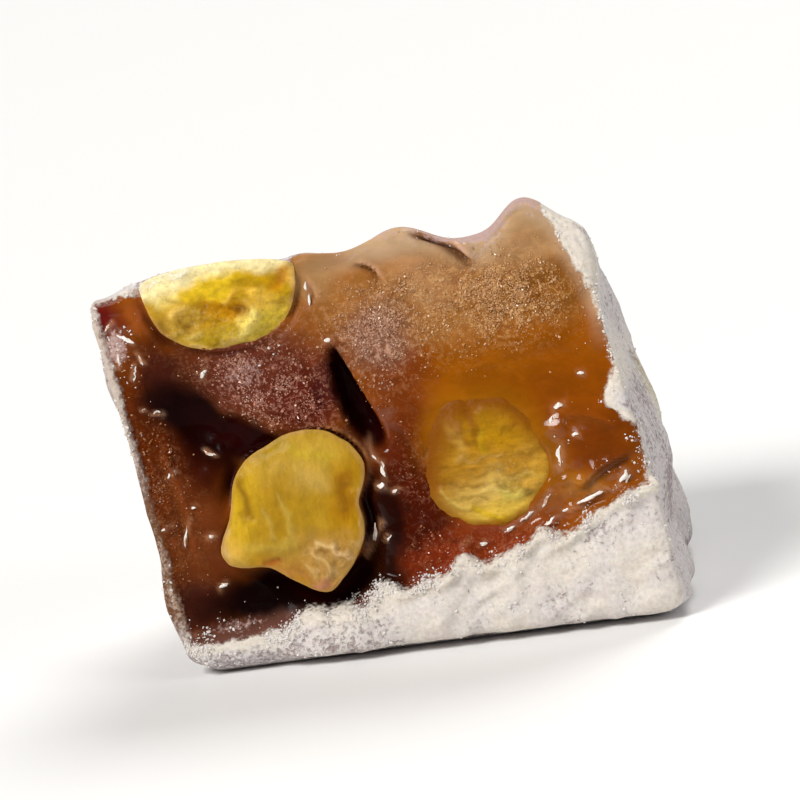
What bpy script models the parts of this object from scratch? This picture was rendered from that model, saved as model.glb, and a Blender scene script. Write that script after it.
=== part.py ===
"""One hand-cut piece of pistachio Turkish delight, dusted with starch and sugar.

The jelly is a soft block that leans a little. Its front is the cut: three pistachio kernels, a slit
and shallow hollows show there, and a flap of powdered rind is drawn up over its lower right. The
other faces are rind, with soft folds and the bumps of nuts that lie just under the powder.

Lengths are in millimetres and become metres when a mesh is made. +X is right, +Y is back and +Z is
up. The origin is under the middle of the piece, on the surface that it rests on.
"""

import math

import bmesh
import bpy
import numpy as np
from mathutils import Matrix

MM = 0.001

# Driving sizes of the block
WIDTH = 35.0
DEPTH = 27.0
HEIGHT = 27.0
LEAN = math.radians(8.0)  # the cut face leans back this far
SKEW = 1.9  # the top has crept this far to the left, and the foot as far to the right
CENTRING = (-0.2, -0.3)  # brings the middle of the whole piece over the origin
CUT_EDGE = 0.8  # rounding where the knife left the cut face
FOOT_EDGE = 2.2  # rounding of the foot of the cut
RIND_EDGE = 2.6  # rounding of the powdered edges behind it
FOOT_BLEND = -0.6  # where up the cube the foot edge has become the cut edge
RIND_BLEND = -0.55  # where along the cube the cut edge has become the rind edge
TAPER = 1.1  # each side draws in by this much from front to back
TOP_TAPER = 0.6  # and by this much more at the top of the back
BACK_LEAN = 1.3  # the back face leans forward by this much at the top
TOP_FALL = 3.0  # the top is this much lower at the back than behind the lip
LIP_DROP = 1.3  # the cut stands up over the top as a lip this high
LIP_DEPTH = 3.7  # how far back the lip reaches
LIP_POWER = 3  # above 2 gives the lip a broad, rounded crest
CUT_FACING = (0.5, 0.9)  # how squarely a point faces forward where the rind ends and the cut begins
FOOT_FACING = (-0.9, -0.3)  # how far down a point faces where the relief fades out
GRID = (34, 18, 26)  # cells of the block along X, Y and Z
GAP = 0.3  # clearance between a kernel and the jelly round it
BED_OPENING = 1.5  # how far the bed of a kernel is cut out through the face

# Rises and dips along the top of the cut: place on X, half width, height
LIP_WAVES = (
    (-16.1, 1.4, 0.4),
    (-7.5, 6.0, -0.2),
    (-3.4, 2.3, 1.1),
    (2.6, 4.0, 2.2),
    (9.4, 1.4, -0.6),
    (11.8, 2.9, 2.6),
)

# Swellings and hollows: place on X, Y and Z, radius, height
SWELLINGS = {
    "bloomed_shoulder": (-7.2, -10.9, 18.9, 4.0, 0.9),
    "dark_hollow": (-13.0, -11.0, 17.4, 3.0, -1.9),
    "dark_hollow_end": (-9.8, -11.2, 15.8, 2.2, -0.9),
    "hollow_under_kernel": (-8.6, -12.7, 5.4, 2.7, -1.2),
    "hollow_beside_kernel": (-3.4, -12.7, 5.6, 2.3, -1.2),
    "glossy_lobe": (14.8, -11.8, 12.4, 2.9, 0.8),
    "nut_in_right_side": (17.0, 2.0, 12.5, 5.2, 1.1),
    "nut_in_left_side": (-17.0, 3.5, 9.5, 5.0, 1.0),
    "nut_in_back_low": (-7.0, 13.0, 9.0, 5.4, 1.2),
    "rise_in_back": (7.5, 12.0, 17.0, 5.0, 1.0),
    "nut_in_top": (0.5, 3.0, 25.6, 5.2, 1.0),
    "rise_behind_kernel": (-9.6, -8.5, 26.5, 5.6, 1.5),
    "sag_in_top": (-6.0, 5.0, 26.0, 5.5, -0.9),
    "belly_of_right_side": (18.0, -4.0, 9.5, 7.0, 0.8),
    "sag_in_back": (2.0, 13.5, 8.0, 4.5, -0.8),
}

# Folds of the stretched rind: direction across them, wavelength, height
FOLDS = (
    ((0.35, 1.0, 0.20), 9.5, 0.28),
    ((1.0, 0.30, -0.45), 7.0, 0.22),
    ((-0.25, 0.60, 1.0), 12.0, 0.25),
)
FOLD_BEND = 1.2  # the folds snake by this much
FOLD_BEND_LENGTH = 2.3  # over this many wavelengths
FOOT_FLARE = 0.7  # the rind spreads this much round the foot
FOOT_HEIGHT = 2.8

# The flap: its lip climbs from the foot at the left along this line of places and heights
FLAP_PLACES = (-9.0, -2.0, 4.0, 8.0, 11.5, 14.9, 16.1, 17.4, 19.5)
FLAP_HEIGHTS = (3.0, 4.5, 5.8, 6.5, 7.3, 8.4, 9.2, 10.2, 11.0)
FLAP_START = -9.0
FLAP_THICKNESS = 1.1
FLAP_EDGE = 0.8  # half the height over which its lip runs out
FLAP_FADE = 2.0  # half the width over which its left end runs out
FLAP_RAGGED = ((5.2, 0.30, 2.9), (2.9, 0.20, 4.4))  # wavelength, height, phase

# Kernels: place on X and Z, half sizes to the left, right, up and down, how far the cut stands
# proud of the jelly, its crown, the depth inside and how far the inner end dips, and lobes (angle
# and width in degrees, share of the radius)
KERNELS = {
    "pistachio_top": {
        "place": (-9.7, 27.5),
        "half": (5.6, 5.3, 1.0, 5.0),
        "proud": 0.5,
        "crown": 0.45,
        "depth": 4.8,
        "dip": 2.4,
        "lobes": ((222, 22, 0.05), (312, 22, 0.07), (262, 14, 0.02)),
        "color": (0.62, 0.43, 0.045),
    },
    "pistachio_centre": {
        "place": (-7.0, 10.7),
        "half": (4.25, 4.95, 5.65, 7.75),
        "proud": 0.5,
        "crown": 0.5,
        "depth": 6.0,
        "dip": 0.0,
        "lobes": (
            (206, 20, 0.37),
            (257, 42, -0.40),
            (287, 11, 0.07),
            (31, 40, 0.22),
            (102, 22, -0.11),
            (3, 15, -0.17),
        ),
        "color": (0.50, 0.33, 0.045),
    },
    "pistachio_right": {
        "place": (7.2, 12.2),
        "half": (4.8, 3.2, 4.5, 4.35),
        "proud": 0.1,
        "crown": 0.35,
        "depth": 6.0,
        "dip": 0.0,
        "lobes": ((53, 31, 0.14), (120, 22, 0.14), (211, 18, 0.09), (352, 35, 0.40)),
        "color": (0.42, 0.26, 0.03),
    },
}
KERNEL_SIDES = 38
KERNEL_RINGS = 14

# The slit between the shoulder and the amber field: place on X and Z, half sizes, turn in the face
SLIT_PLACE = (-1.7, 17.95)
SLIT_HALF = (1.0, 3.0, 4.0)
SLIT_TURN = math.radians(-19.5)

JELLY_COLOR = (0.33, 0.11, 0.03)
JELLY_ROUGHNESS = 0.3
KERNEL_ROUGHNESS = 0.45


def smoothstep(low, high, value):
    """0 below low, 1 above high, and the cubic 3t^2 - 2t^3 between them."""
    t = np.clip((value - low) / (high - low), 0.0, 1.0)
    return t * t * (3.0 - 2.0 * t)


def rounded_box(cube):
    """Points of a cube from -1 to 1, moved onto a box with rounded edges, and their outward normals.

    A point is held inside a box that is smaller by the rounding, and pushed out again from there by
    the rounding. The rounding grows from the cut edge to the foot edge towards the base, and to the
    rind edge a short way behind the front.
    """
    half = np.array([WIDTH, DEPTH, HEIGHT]) / 2
    cut = FOOT_EDGE + (CUT_EDGE - FOOT_EDGE) * smoothstep(-1.0, FOOT_BLEND, cube[:, 2])
    rounding = cut + (RIND_EDGE - cut) * smoothstep(-1.0, RIND_BLEND, cube[:, 1])
    limit = half - rounding[:, None]
    point = cube * half
    core = np.clip(point, -limit, limit)
    normal = point - core
    normal /= np.linalg.norm(normal, axis=1)[:, None]
    return (core + rounding[:, None] * normal) / half, normal


def lip_height(x):
    """Height of the top of the cut at x: the block's height and a sum of bell curves."""
    waves = sum(height * np.exp(-(((x - place) / half) ** 2)) for place, half, height in LIP_WAVES)
    return HEIGHT + waves


def flap_cover(x, z):
    """1 on the flap and 0 above its ragged lip."""
    line = np.interp(x, FLAP_PLACES, FLAP_HEIGHTS)
    ragged = sum(height * np.sin(math.tau * x / wave + phase) for wave, height, phase in FLAP_RAGGED)
    started = smoothstep(FLAP_START - FLAP_FADE, FLAP_START + FLAP_FADE, x)
    return started * smoothstep(-FLAP_EDGE, FLAP_EDGE, line + ragged - z)


def soft_block(cube):
    """The jelly: cube points from -1 to 1, carried to the leaning block and given their relief."""
    unit, normal = rounded_box(cube)
    across, back, up = unit.T
    behind = (back + 1.0) / 2
    share = (up + 1.0) / 2
    x = across * (WIDTH / 2 - TAPER * behind - TOP_TAPER * behind * share) - SKEW * up
    lip = np.exp(-((behind * DEPTH / LIP_DEPTH) ** LIP_POWER))
    waved = lip_height(x) * lip + (HEIGHT - TOP_FALL * behind) * (1.0 - lip)
    z = share * (waved - LIP_DROP * (1.0 - lip))
    front = -DEPTH / 2 + math.tan(LEAN) * z
    rear = DEPTH / 2 - BACK_LEAN * share
    point = np.stack([x, front + (rear - front) * behind, z], axis=1)

    rind = 1.0 - smoothstep(*CUT_FACING, -normal[:, 1])
    clear_of_foot = smoothstep(*FOOT_FACING, normal[:, 2])
    relief = FLAP_THICKNESS * flap_cover(x, z) * (1.0 - rind)
    for sx, sy, sz, radius, height in SWELLINGS.values():
        away = np.linalg.norm(point - (sx, sy, sz), axis=1)
        relief = relief + height * np.exp(-((away / radius) ** 2))
    for direction, wave, height in FOLDS:
        along = point @ (np.array(direction) / np.linalg.norm(direction))
        bent = along + FOLD_BEND * np.sin(math.tau * point[:, 2] / (FOLD_BEND_LENGTH * wave))
        relief = relief + rind * height * np.sin(math.tau * bent / wave)
    relief = relief + rind * FOOT_FLARE * np.exp(-((z / FOOT_HEIGHT) ** 2))
    moved = point + normal * (relief * clear_of_foot)[:, None]
    moved[:, 2] = np.where(cube[:, 2] <= -1.0, point[:, 2], np.maximum(moved[:, 2], 0.0))
    return moved + (*CENTRING, 0.0)


def kernel_outline(angle, half, lobes):
    """Radius of a cut kernel at each angle: four quarter ellipses, times one plus its lobes."""
    left, right, above, below = half
    wide = np.where(np.cos(angle) < 0, left, right)
    tall = np.where(np.sin(angle) < 0, below, above)
    radius = 1.0 / np.sqrt((np.cos(angle) / wide) ** 2 + (np.sin(angle) / tall) ** 2)
    share = 1.0
    for place, width, height in lobes:
        turn = (angle - math.radians(place) + math.pi) % math.tau - math.pi
        share = share + height * np.exp(-((turn / math.radians(width)) ** 2))
    return radius * share


def kernel_form(ball, spec, grow=0.0, opening=0.0):
    """Points of a unit ball, carried to a kernel cut through its middle.

    Seen along Y the ball takes the kernel's outline; its front half is the low crown of the cut, and
    its back half reaches into the jelly by the depth, dipping as it goes. A bed for the kernel is
    the same form, grown by the gap and opened at the front.
    """
    spread = np.hypot(ball[:, 0], ball[:, 2])
    angle = np.arctan2(ball[:, 2], ball[:, 0])
    inside = np.maximum(ball[:, 1], 0.0)
    radius = spread * (kernel_outline(angle, spec["half"], spec["lobes"]) + grow)
    x = radius * np.cos(angle)
    y = ball[:, 1] * np.where(ball[:, 1] < 0, spec["crown"] + opening, spec["depth"]) + grow * ball[:, 1]
    z = radius * np.sin(angle) - spec["dip"] * inside**2
    return np.stack([x, y, z], axis=1)


def on_the_cut(x, z, proud=0.0):
    """A point of the leaning face at x and height z, standing proud of it, and the face's turn."""
    y = -DEPTH / 2 + math.tan(LEAN) * z
    place = (
        x + CENTRING[0],
        y + CENTRING[1] - proud * math.cos(LEAN),
        z + proud * math.sin(LEAN),
    )
    return place, -LEAN


def move_points(mesh_cage, form):
    """Carries all vertices of a bmesh through a function of their places."""
    places = np.array([vertex.co for vertex in mesh_cage.verts])
    for vertex, place in zip(mesh_cage.verts, form(places)):
        vertex.co = place * MM


def new_object(name, mesh_cage, material, collection):
    mesh = bpy.data.meshes.new(name)
    bmesh.ops.recalc_face_normals(mesh_cage, faces=mesh_cage.faces)
    mesh_cage.to_mesh(mesh)
    mesh_cage.free()
    mesh.materials.append(material)
    mesh.shade_smooth()
    obj = bpy.data.objects.new(name, mesh)
    collection.objects.link(obj)
    return obj


def new_material(name, color, roughness):
    material = bpy.data.materials.new(name)
    material.use_nodes = True
    shader = material.node_tree.nodes["Principled BSDF"]
    shader.inputs["Base Color"].default_value = (*color, 1.0)
    shader.inputs["Roughness"].default_value = roughness
    shader.inputs["Metallic"].default_value = 0.0
    return material


def new_collection(name):
    collection = bpy.data.collections.new(name)
    bpy.context.scene.collection.children.link(collection)
    return collection


def gridded_cube():
    """A cube from -1 to 1, cut into GRID cells, which lie closer together near its edges."""
    cage = bmesh.new()
    bmesh.ops.create_cube(cage, size=2.0)
    for axis, cells in enumerate(GRID):
        along = [
            edge
            for edge in cage.edges
            if edge.verts[0].co[axis] != edge.verts[1].co[axis]
        ]
        bmesh.ops.subdivide_edges(cage, edges=along, cuts=cells - 1, use_grid_fill=True)
    return cage


def closer_at_edges(cube):
    """Eases each coordinate t towards the ends by the mean of t and (3t - t^3) / 2."""
    return cube / 2 + (3.0 * cube - cube**3) / 4


def make_jelly(collection):
    cage = gridded_cube()
    move_points(cage, lambda cube: soft_block(closer_at_edges(cube)))
    return new_object("jelly", cage, new_material("amber_jelly", JELLY_COLOR, JELLY_ROUGHNESS), collection)


def kernel_ball():
    """A unit ball whose poles lie along Y, in the middle of the cut and deep inside."""
    ball = bmesh.new()
    bmesh.ops.create_uvsphere(
        ball,
        u_segments=KERNEL_SIDES,
        v_segments=KERNEL_RINGS,
        radius=1.0,
        matrix=Matrix.Rotation(math.pi / 2, 4, "X"),
    )
    return ball


def make_kernel(name, spec, collection):
    ball = kernel_ball()
    move_points(ball, lambda points: kernel_form(points, spec))
    flesh = new_material(name + "_flesh", spec["color"], KERNEL_ROUGHNESS)
    kernel = new_object(name, ball, flesh, collection)
    place_on_cut(kernel, spec["place"], spec["proud"])
    return kernel


def place_on_cut(obj, place, proud, turn=0.0):
    """Sets an object on the leaning face, turned in the plane of that face."""
    spot, lean = on_the_cut(*place, proud)
    matrix = Matrix.Rotation(lean, 4, "X") @ Matrix.Rotation(turn, 4, "Y")
    obj.location = [value * MM for value in spot]
    obj.rotation_euler = matrix.to_euler()


def cut_with(jelly, cutter):
    cutter.hide_render = True
    cutter.display_type = "WIRE"
    boolean = jelly.modifiers.new(cutter.name, "BOOLEAN")
    boolean.operation = "DIFFERENCE"
    boolean.solver = "EXACT"
    boolean.object = cutter


def cut_recess(jelly, name, spec, collection):
    """Takes a bed for the kernel out of the jelly, wider than it by the gap all round."""
    ball = kernel_ball()
    move_points(ball, lambda points: kernel_form(points, spec, GAP, BED_OPENING))
    cutter = new_object(name + "_bed", ball, jelly.data.materials[0], collection)
    place_on_cut(cutter, spec["place"], spec["proud"])
    cut_with(jelly, cutter)


def cut_slit(jelly, collection):
    """Takes the slit out of the jelly: a flattened ball that opens at the face."""
    ball = bmesh.new()
    bmesh.ops.create_icosphere(ball, subdivisions=2, radius=1.0)
    move_points(ball, lambda points: points * SLIT_HALF)
    cutter = new_object("slit_cutter", ball, jelly.data.materials[0], collection)
    place_on_cut(cutter, SLIT_PLACE, 0.0, SLIT_TURN)
    cut_with(jelly, cutter)


def main():
    for obj in list(bpy.data.objects):
        bpy.data.objects.remove(obj)
    piece = new_collection("turkish_delight")
    cutters = new_collection("cutters")
    jelly = make_jelly(piece)
    for name, spec in KERNELS.items():
        make_kernel(name, spec, piece)
        cut_recess(jelly, name, spec, cutters)
    cut_slit(jelly, cutters)


main()
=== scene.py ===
# %% [markdown]
# # One piece of pistachio Turkish delight
#
# Turkish delight is starch jelly boiled with sugar until it sets. It is poured in a tray with whole
# kernels in it, cut in blocks, and tossed in starch and powdered sugar. This piece shows one fresh cut
# face with three pistachio kernels, and every other side is a soft, powdered rind.
#
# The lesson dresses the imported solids: a fine jelly surface worked out with numpy from the same
# dimensions as the solid, three kernels, and loose grains of starch and sugar.

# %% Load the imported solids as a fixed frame
import math
from itertools import product

import bpy
import numpy as np
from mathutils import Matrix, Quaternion, Vector


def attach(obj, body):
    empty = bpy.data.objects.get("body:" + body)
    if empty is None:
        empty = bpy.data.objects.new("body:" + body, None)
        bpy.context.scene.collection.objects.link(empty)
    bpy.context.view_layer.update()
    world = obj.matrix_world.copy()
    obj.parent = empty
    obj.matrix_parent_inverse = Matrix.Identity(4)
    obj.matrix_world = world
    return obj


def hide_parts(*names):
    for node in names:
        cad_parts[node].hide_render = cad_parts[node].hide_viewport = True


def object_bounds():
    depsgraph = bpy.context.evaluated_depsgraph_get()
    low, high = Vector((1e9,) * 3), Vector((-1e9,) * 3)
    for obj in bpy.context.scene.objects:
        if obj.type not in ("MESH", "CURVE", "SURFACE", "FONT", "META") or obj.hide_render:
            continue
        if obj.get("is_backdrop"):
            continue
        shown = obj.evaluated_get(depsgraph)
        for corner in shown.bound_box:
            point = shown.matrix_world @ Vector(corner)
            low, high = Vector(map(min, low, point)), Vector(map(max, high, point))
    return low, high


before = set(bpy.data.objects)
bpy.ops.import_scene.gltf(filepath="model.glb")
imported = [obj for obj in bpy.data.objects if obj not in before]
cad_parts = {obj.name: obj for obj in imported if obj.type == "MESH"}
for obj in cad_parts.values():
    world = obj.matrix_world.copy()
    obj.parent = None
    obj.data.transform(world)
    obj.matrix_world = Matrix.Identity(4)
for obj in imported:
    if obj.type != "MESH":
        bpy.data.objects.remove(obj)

cad_box = [list(corner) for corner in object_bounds()]
print("packed solids:", sorted(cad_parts), "box", cad_box)

# %% [markdown]
# ## The block's dimensions
#
# The block was dragged apart by a knife, so it leans and tapers. These are the same driving dimensions
# as the solid's, in millimetres: X runs along the cut face, Y goes into the block and Z is up. The
# formulas below give a point of the skin for each point of a cube, which keeps the surface closed.

# %% Driving dimensions, in millimetres
MM = 0.001

WIDTH = 35.0
DEPTH = 27.0
HEIGHT = 27.0
LEAN = math.radians(8.0)
SKEW = 1.9
CENTRING = (-0.2, -0.3)
CUT_EDGE = 0.8
FOOT_EDGE = 2.2
RIND_EDGE = 2.6
TAPER = 1.1
TOP_TAPER = 0.6
BACK_LEAN = 1.3
TOP_FALL = 3.0
LIP_DROP = 1.3
LIP_DEPTH = 3.7
LIP_POWER = 3
FOOT_FLARE = 0.7
FOOT_HEIGHT = 2.8

# Waves of the lip over the cut: place, width, height
LIP_WAVES = (
    (-16.1, 1.4, 0.4),
    (-7.5, 6.0, -0.2),
    (-3.4, 2.3, 1.1),
    (2.6, 4.0, 2.2),
    (9.4, 1.4, -0.6),
    (11.8, 2.9, 2.6),
)

# Bumps and hollows: x, y, z, radius, height
SWELLINGS = {
    "bloomed_shoulder": (-7.2, -10.9, 18.9, 4.0, 0.9),
    "dark_hollow": (-13.0, -11.0, 17.4, 3.0, -1.9),
    "dark_hollow_end": (-9.8, -11.2, 15.8, 2.2, -0.9),
    "hollow_under_kernel": (-8.6, -12.7, 5.4, 2.7, -1.2),
    "hollow_beside_kernel": (-3.4, -12.7, 5.6, 2.3, -1.2),
    "glossy_lobe": (14.8, -11.8, 12.4, 2.9, 0.8),
    "nut_in_right_side": (17.0, 2.0, 12.5, 5.2, 1.1),
    "nut_in_left_side": (-17.0, 3.5, 9.5, 5.0, 1.0),
    "nut_in_back_low": (-7.0, 13.0, 9.0, 5.4, 1.2),
    "rise_in_back": (7.5, 12.0, 17.0, 5.0, 1.0),
    "nut_in_top": (0.5, 3.0, 25.6, 5.2, 1.0),
    "rise_behind_kernel": (-9.6, -8.5, 26.5, 5.6, 1.5),
    "sag_in_top": (-6.0, 5.0, 26.0, 5.5, -0.9),
    "belly_of_right_side": (18.0, -4.0, 9.5, 7.0, 0.8),
    "sag_in_back": (2.0, 13.5, 8.0, 4.5, -0.8),
}

# Soft folds of the rind: direction, spacing, height
FOLDS = (
    ((0.35, 1.0, 0.20), 9.5, 0.28),
    ((1.0, 0.30, -0.45), 7.0, 0.22),
    ((-0.25, 0.60, 1.0), 12.0, 0.25),
)
FOLD_BEND = 1.2
FOLD_BEND_LENGTH = 2.3

# The flap of rind drawn up over the foot of the cut: places and heights of its torn edge
FLAP_PLACES = (-9.0, -2.0, 4.0, 8.0, 11.5, 14.9, 16.1, 17.4, 19.5)
FLAP_HEIGHTS = (3.0, 4.5, 5.8, 6.5, 7.3, 8.4, 9.2, 10.2, 11.0)
FLAP_START = -9.0
FLAP_THICKNESS = 1.1
FLAP_RAGGED = ((5.2, 0.30, 2.9), (2.9, 0.20, 4.4))
print(f"block {WIDTH} x {DEPTH} x {HEIGHT} mm, leaning {math.degrees(LEAN):.0f} degrees")

# %% [markdown]
# ## Noise worked out with numpy
#
# Jelly, powder and nut flesh are uneven at every scale. Blender's own noise lives in materials, so the
# noise that moves the surface is computed here: a repeatable random number sits at each whole-numbered
# place of a lattice, and each point takes a smooth average of its cell's eight corners.

# %% Smooth steps, soft bumps and layered noise
def smoothstep(low, high, value):
    """0 below low and 1 above high, with an S-shaped rise 3t^2 - 2t^3 between."""
    t = np.clip((value - low) / (high - low), 0.0, 1.0)
    return t * t * (3.0 - 2.0 * t)


def soft(distance, width):
    """A soft bump: 1 at distance 0, falling as e to the power of minus (distance / width) squared."""
    return np.exp(-((distance / width) ** 2))


def lattice_number(cell, seed):
    """-1 to 1 for each lattice cell: its whole numbers times large primes, mixed by xor and shifts."""
    mixed = (cell[:, 0] * 73856093) ^ (cell[:, 1] * 19349663) ^ (cell[:, 2] * 83492791) ^ (seed * 7919)
    mixed = ((mixed ^ (mixed >> 13)) * 1274126177) & 0x7FFFFFFF
    mixed = ((mixed ^ (mixed >> 11)) * 668265263) & 0x7FFFFFFF
    return ((mixed ^ (mixed >> 15)) & 0xFFFF) / 32767.5 - 1.0


def noise(points, size, seed):
    """Value noise from -1 to 1: the eight corner numbers of the cell of this size, each weighted by the
    product over the three axes of a smooth share of how near the point is."""
    scaled = points / size
    cell = np.floor(scaled).astype(np.int64)
    share = scaled - cell
    share = share * share * (3.0 - 2.0 * share)
    total = np.zeros(len(points))
    for corner in np.ndindex(2, 2, 2):
        weight = np.prod(np.where(corner, share, 1.0 - share), axis=1)
        total += weight * lattice_number(cell + np.array(corner), seed)
    return total


def layered_noise(points, size, seed, layers=3):
    """A sum of noises, each half the size and about half the height of the one before, turned a little
    so that the lattices don't line up."""
    turn = np.array([[0.8, 0.6, 0.0], [-0.36, 0.48, 0.8], [0.48, -0.64, 0.6]])
    total = np.zeros(len(points))
    for layer in range(layers):
        total += noise(points, size * 0.5**layer, seed + layer) * 0.55**layer
        points = points @ turn
    return total / 1.6


def ridged(points, size, seed):
    """0 to 1 with sharp crests where a noise passes zero: one minus the noise's size, squared."""
    return (1 - np.abs(noise(points, size, seed))) ** 2


print("noise at a few points:", np.round(noise(np.arange(9.0).reshape(3, 3) / 4, 1.0, 1), 3))

# %% [markdown]
# ## The kernels' outlines
#
# A pistachio kernel is cut through wherever the knife meets it, so each one shows a different outline.
# An outline is four quarter ellipses, one for each direction, with soft lobes and notches pushed in and
# out at named angles. The jelly needs the outlines too, because it gapes beside some of them.

# %% Kernel sizes, in millimetres
KERNELS = {
    "pistachio_top": dict(
        place=(-9.7, 27.5), half=(5.6, 5.3, 1.0, 5.0), proud=0.5, crown=0.45, depth=4.8, dip=2.4,
        lobes=((222, 22, 0.05), (312, 22, 0.07), (262, 14, 0.02)),
    ),
    "pistachio_centre": dict(
        place=(-7.0, 10.7), half=(4.25, 4.95, 5.65, 7.75), proud=0.5, crown=0.5, depth=6.0, dip=0.0,
        lobes=((206, 20, 0.37), (257, 42, -0.40), (287, 11, 0.07), (31, 40, 0.22), (102, 22, -0.11),
               (3, 15, -0.17)),
    ),
    "pistachio_right": dict(
        place=(7.2, 12.2), half=(4.8, 3.2, 4.5, 4.35), proud=0.1, crown=0.35, depth=6.0, dip=0.0,
        lobes=((53, 31, 0.14), (120, 22, 0.14), (211, 18, 0.09), (352, 35, 0.40)),
    ),
}


def kernel_outline(angle, half, lobes):
    """Distance from the middle to the outline: an ellipse with this quarter's two half sizes, times one
    plus each lobe's share as a soft bump about its angle."""
    left, right, up, down = half
    wide = np.where(np.cos(angle) < 0, left, right)
    tall = np.where(np.sin(angle) < 0, down, up)
    reach = 1.0 / np.sqrt((np.cos(angle) / wide) ** 2 + (np.sin(angle) / tall) ** 2)
    swell = np.ones_like(angle)
    for direction, width, share in lobes:
        turn = (angle - math.radians(direction) + math.pi) % math.tau - math.pi
        swell += share * soft(turn, math.radians(width))
    return reach * swell


def beside_kernel(x, z, name):
    """(distance outside the kernel's outline, direction in degrees) for points of the cut face."""
    spec = KERNELS[name]
    across = x - spec["place"][0]
    up = (z - spec["place"][1]) / math.cos(LEAN)
    angle = np.arctan2(up, across)
    outline = kernel_outline(angle, spec["half"], spec["lobes"])
    return np.hypot(across, up) - outline, np.degrees(angle)


print("kernels:", ", ".join(KERNELS))

# %% [markdown]
# ## The skin of a box of cells
#
# A grid on each of a cube's six sides makes one closed sheet of four-sided faces without the crowded
# poles of a ball. The cells are counted in whole numbers first, so that two sides share the very same
# corners along their common edge.

# %% Count the corners and faces of the box
JELLY_CELLS = (184, 60, 146)


def box_skin(cells):
    """(whole-numbered corners, faces as four indices) of a box's skin. Each side's grid turns
    anticlockwise seen from outside, and corners with the same three whole numbers become one."""
    sides = []
    for axis in range(3):
        first, second = (axis + 1) % 3, (axis + 2) % 3
        low = np.stack(np.meshgrid(np.arange(cells[first]), np.arange(cells[second]), indexing="ij"), -1)
        ring = np.array([(0, 0), (1, 0), (1, 1), (0, 1)])
        for end in (0, cells[axis]):
            steps = ring if end else ring[::-1]
            corners = np.zeros(low.shape[:2] + (4, 3), np.int64)
            corners[..., first] = low[..., None, 0] + steps[:, 0]
            corners[..., second] = low[..., None, 1] + steps[:, 1]
            corners[..., axis] = end
            sides.append(corners.reshape(-1, 3))
    corners = np.concatenate(sides)
    key = (corners[:, 0] * 1000 + corners[:, 1]) * 1000 + corners[:, 2]
    _, first_use, index = np.unique(key, return_index=True, return_inverse=True)
    return corners[first_use], index.reshape(-1, 4)


def closer_at_edges(cube):
    """Draws grid lines towards the box's edges: half the place plus half of (3p - p^3) / 2."""
    return cube / 2 + (3 * cube - cube**3) / 4


corners, jelly_faces = box_skin(JELLY_CELLS)
cube = closer_at_edges(2.0 * corners / np.array(JELLY_CELLS) - 1.0)
print(f"jelly grid: {len(corners)} corners, {2 * len(jelly_faces)} triangles")

# %% [markdown]
# ## From the cube to the leaning block
#
# The same steps as the solid's: round the edges, taper the block towards its back, skew it, drop the top
# behind the wavy lip, and lean the cut face back. What is left for the next cells is the relief.

# %% Shape the plain block
# Where the foot's rounding has become the cut's, and the cut's the rind's, from -1 to 1 in the cube
FOOT_BLEND_END = -0.6
CUT_BLEND_END = -0.55
# How squarely a corner faces forward where the cut starts, and where it counts in full
CUT_FACING = (0.5, 0.9)


def rounded_box(cube):
    """(point in -1..1, outward direction): each point is pulled back to an inner box and pushed out
    again by the edge's rounding, small along the cut, larger along the foot and the rind's edges."""
    half = np.array([WIDTH, DEPTH, HEIGHT]) / 2
    cut = FOOT_EDGE + (CUT_EDGE - FOOT_EDGE) * smoothstep(-1.0, FOOT_BLEND_END, cube[:, 2])
    rounding = cut + (RIND_EDGE - cut) * smoothstep(-1.0, CUT_BLEND_END, cube[:, 1])
    limit = half - rounding[:, None]
    point = cube * half
    core = np.clip(point, -limit, limit)
    normal = point - core
    normal /= np.linalg.norm(normal, axis=1)[:, None]
    return (core + rounding[:, None] * normal) / half, normal


def lip_height(x):
    """Height of the lip over the cut: the block's height plus each wave as a soft bump."""
    return HEIGHT + sum(height * soft(x - place, width) for place, width, height in LIP_WAVES)


unit, normal = rounded_box(cube)
behind = (unit[:, 1] + 1) / 2
share_up = (unit[:, 2] + 1) / 2
x = unit[:, 0] * (WIDTH / 2 - TAPER * behind - TOP_TAPER * behind * share_up) - SKEW * unit[:, 2]
near_lip = np.exp(-((behind * DEPTH / LIP_DEPTH) ** LIP_POWER))
waved = lip_height(x) * near_lip + (HEIGHT - TOP_FALL * behind) * (1 - near_lip)
z = share_up * (waved - LIP_DROP * (1 - near_lip))
front = -DEPTH / 2 + math.tan(LEAN) * z
rear = DEPTH / 2 - BACK_LEAN * share_up
block = np.stack([x, front + (rear - front) * behind, z], axis=1)
cut_share = smoothstep(*CUT_FACING, -normal[:, 1])
on_cut = cut_share > 0.5
print(f"plain block: {np.round(np.ptp(block, axis=0), 1)} mm, {int(on_cut.sum())} corners on the cut")

# %% [markdown]
# ## Where the rind ends and the cut begins
#
# The knife leaves a torn, powdered rim all round the cut. One number says how far a point lies inside
# that rim, in millimetres: positive on bare jelly and negative on the rind. Relief, colour and loose
# grains all read it, so that they tear along the same line.

# %% Distance inside the rim of the cut
LEFT_RIM = 0.75
TOP_RIM = 0.35
# Right end of the bare jelly at rising heights, with the notch over the glossy lobe
RIGHT_RIM_HEIGHTS = (0.0, 6.0, 9.8, 11.5, 13.4, 14.6, 15.2, 15.7, 17.5, 20.9, 23.5, 26.0, 29.0)
RIGHT_RIM_PLACES = (18.0, 17.8, 17.4, 17.6, 17.2, 16.7, 15.6, 15.5, 16.1, 16.3, 15.7, 14.6, 13.4)
# The rim strays by noises of these sizes and heights, and by this share less along the left edge
RIM_WANDER = ((2.6, 0.30), (0.9, 0.22), (0.42, 0.10))
LEFT_CALM = 0.7
# Left of the flap the foot's rind starts this much lower
FOOT_DROP = 0.5
# The flap's torn edge slopes: the distance to it is this share of the height above it
FLAP_SLOPE = 0.95
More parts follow.
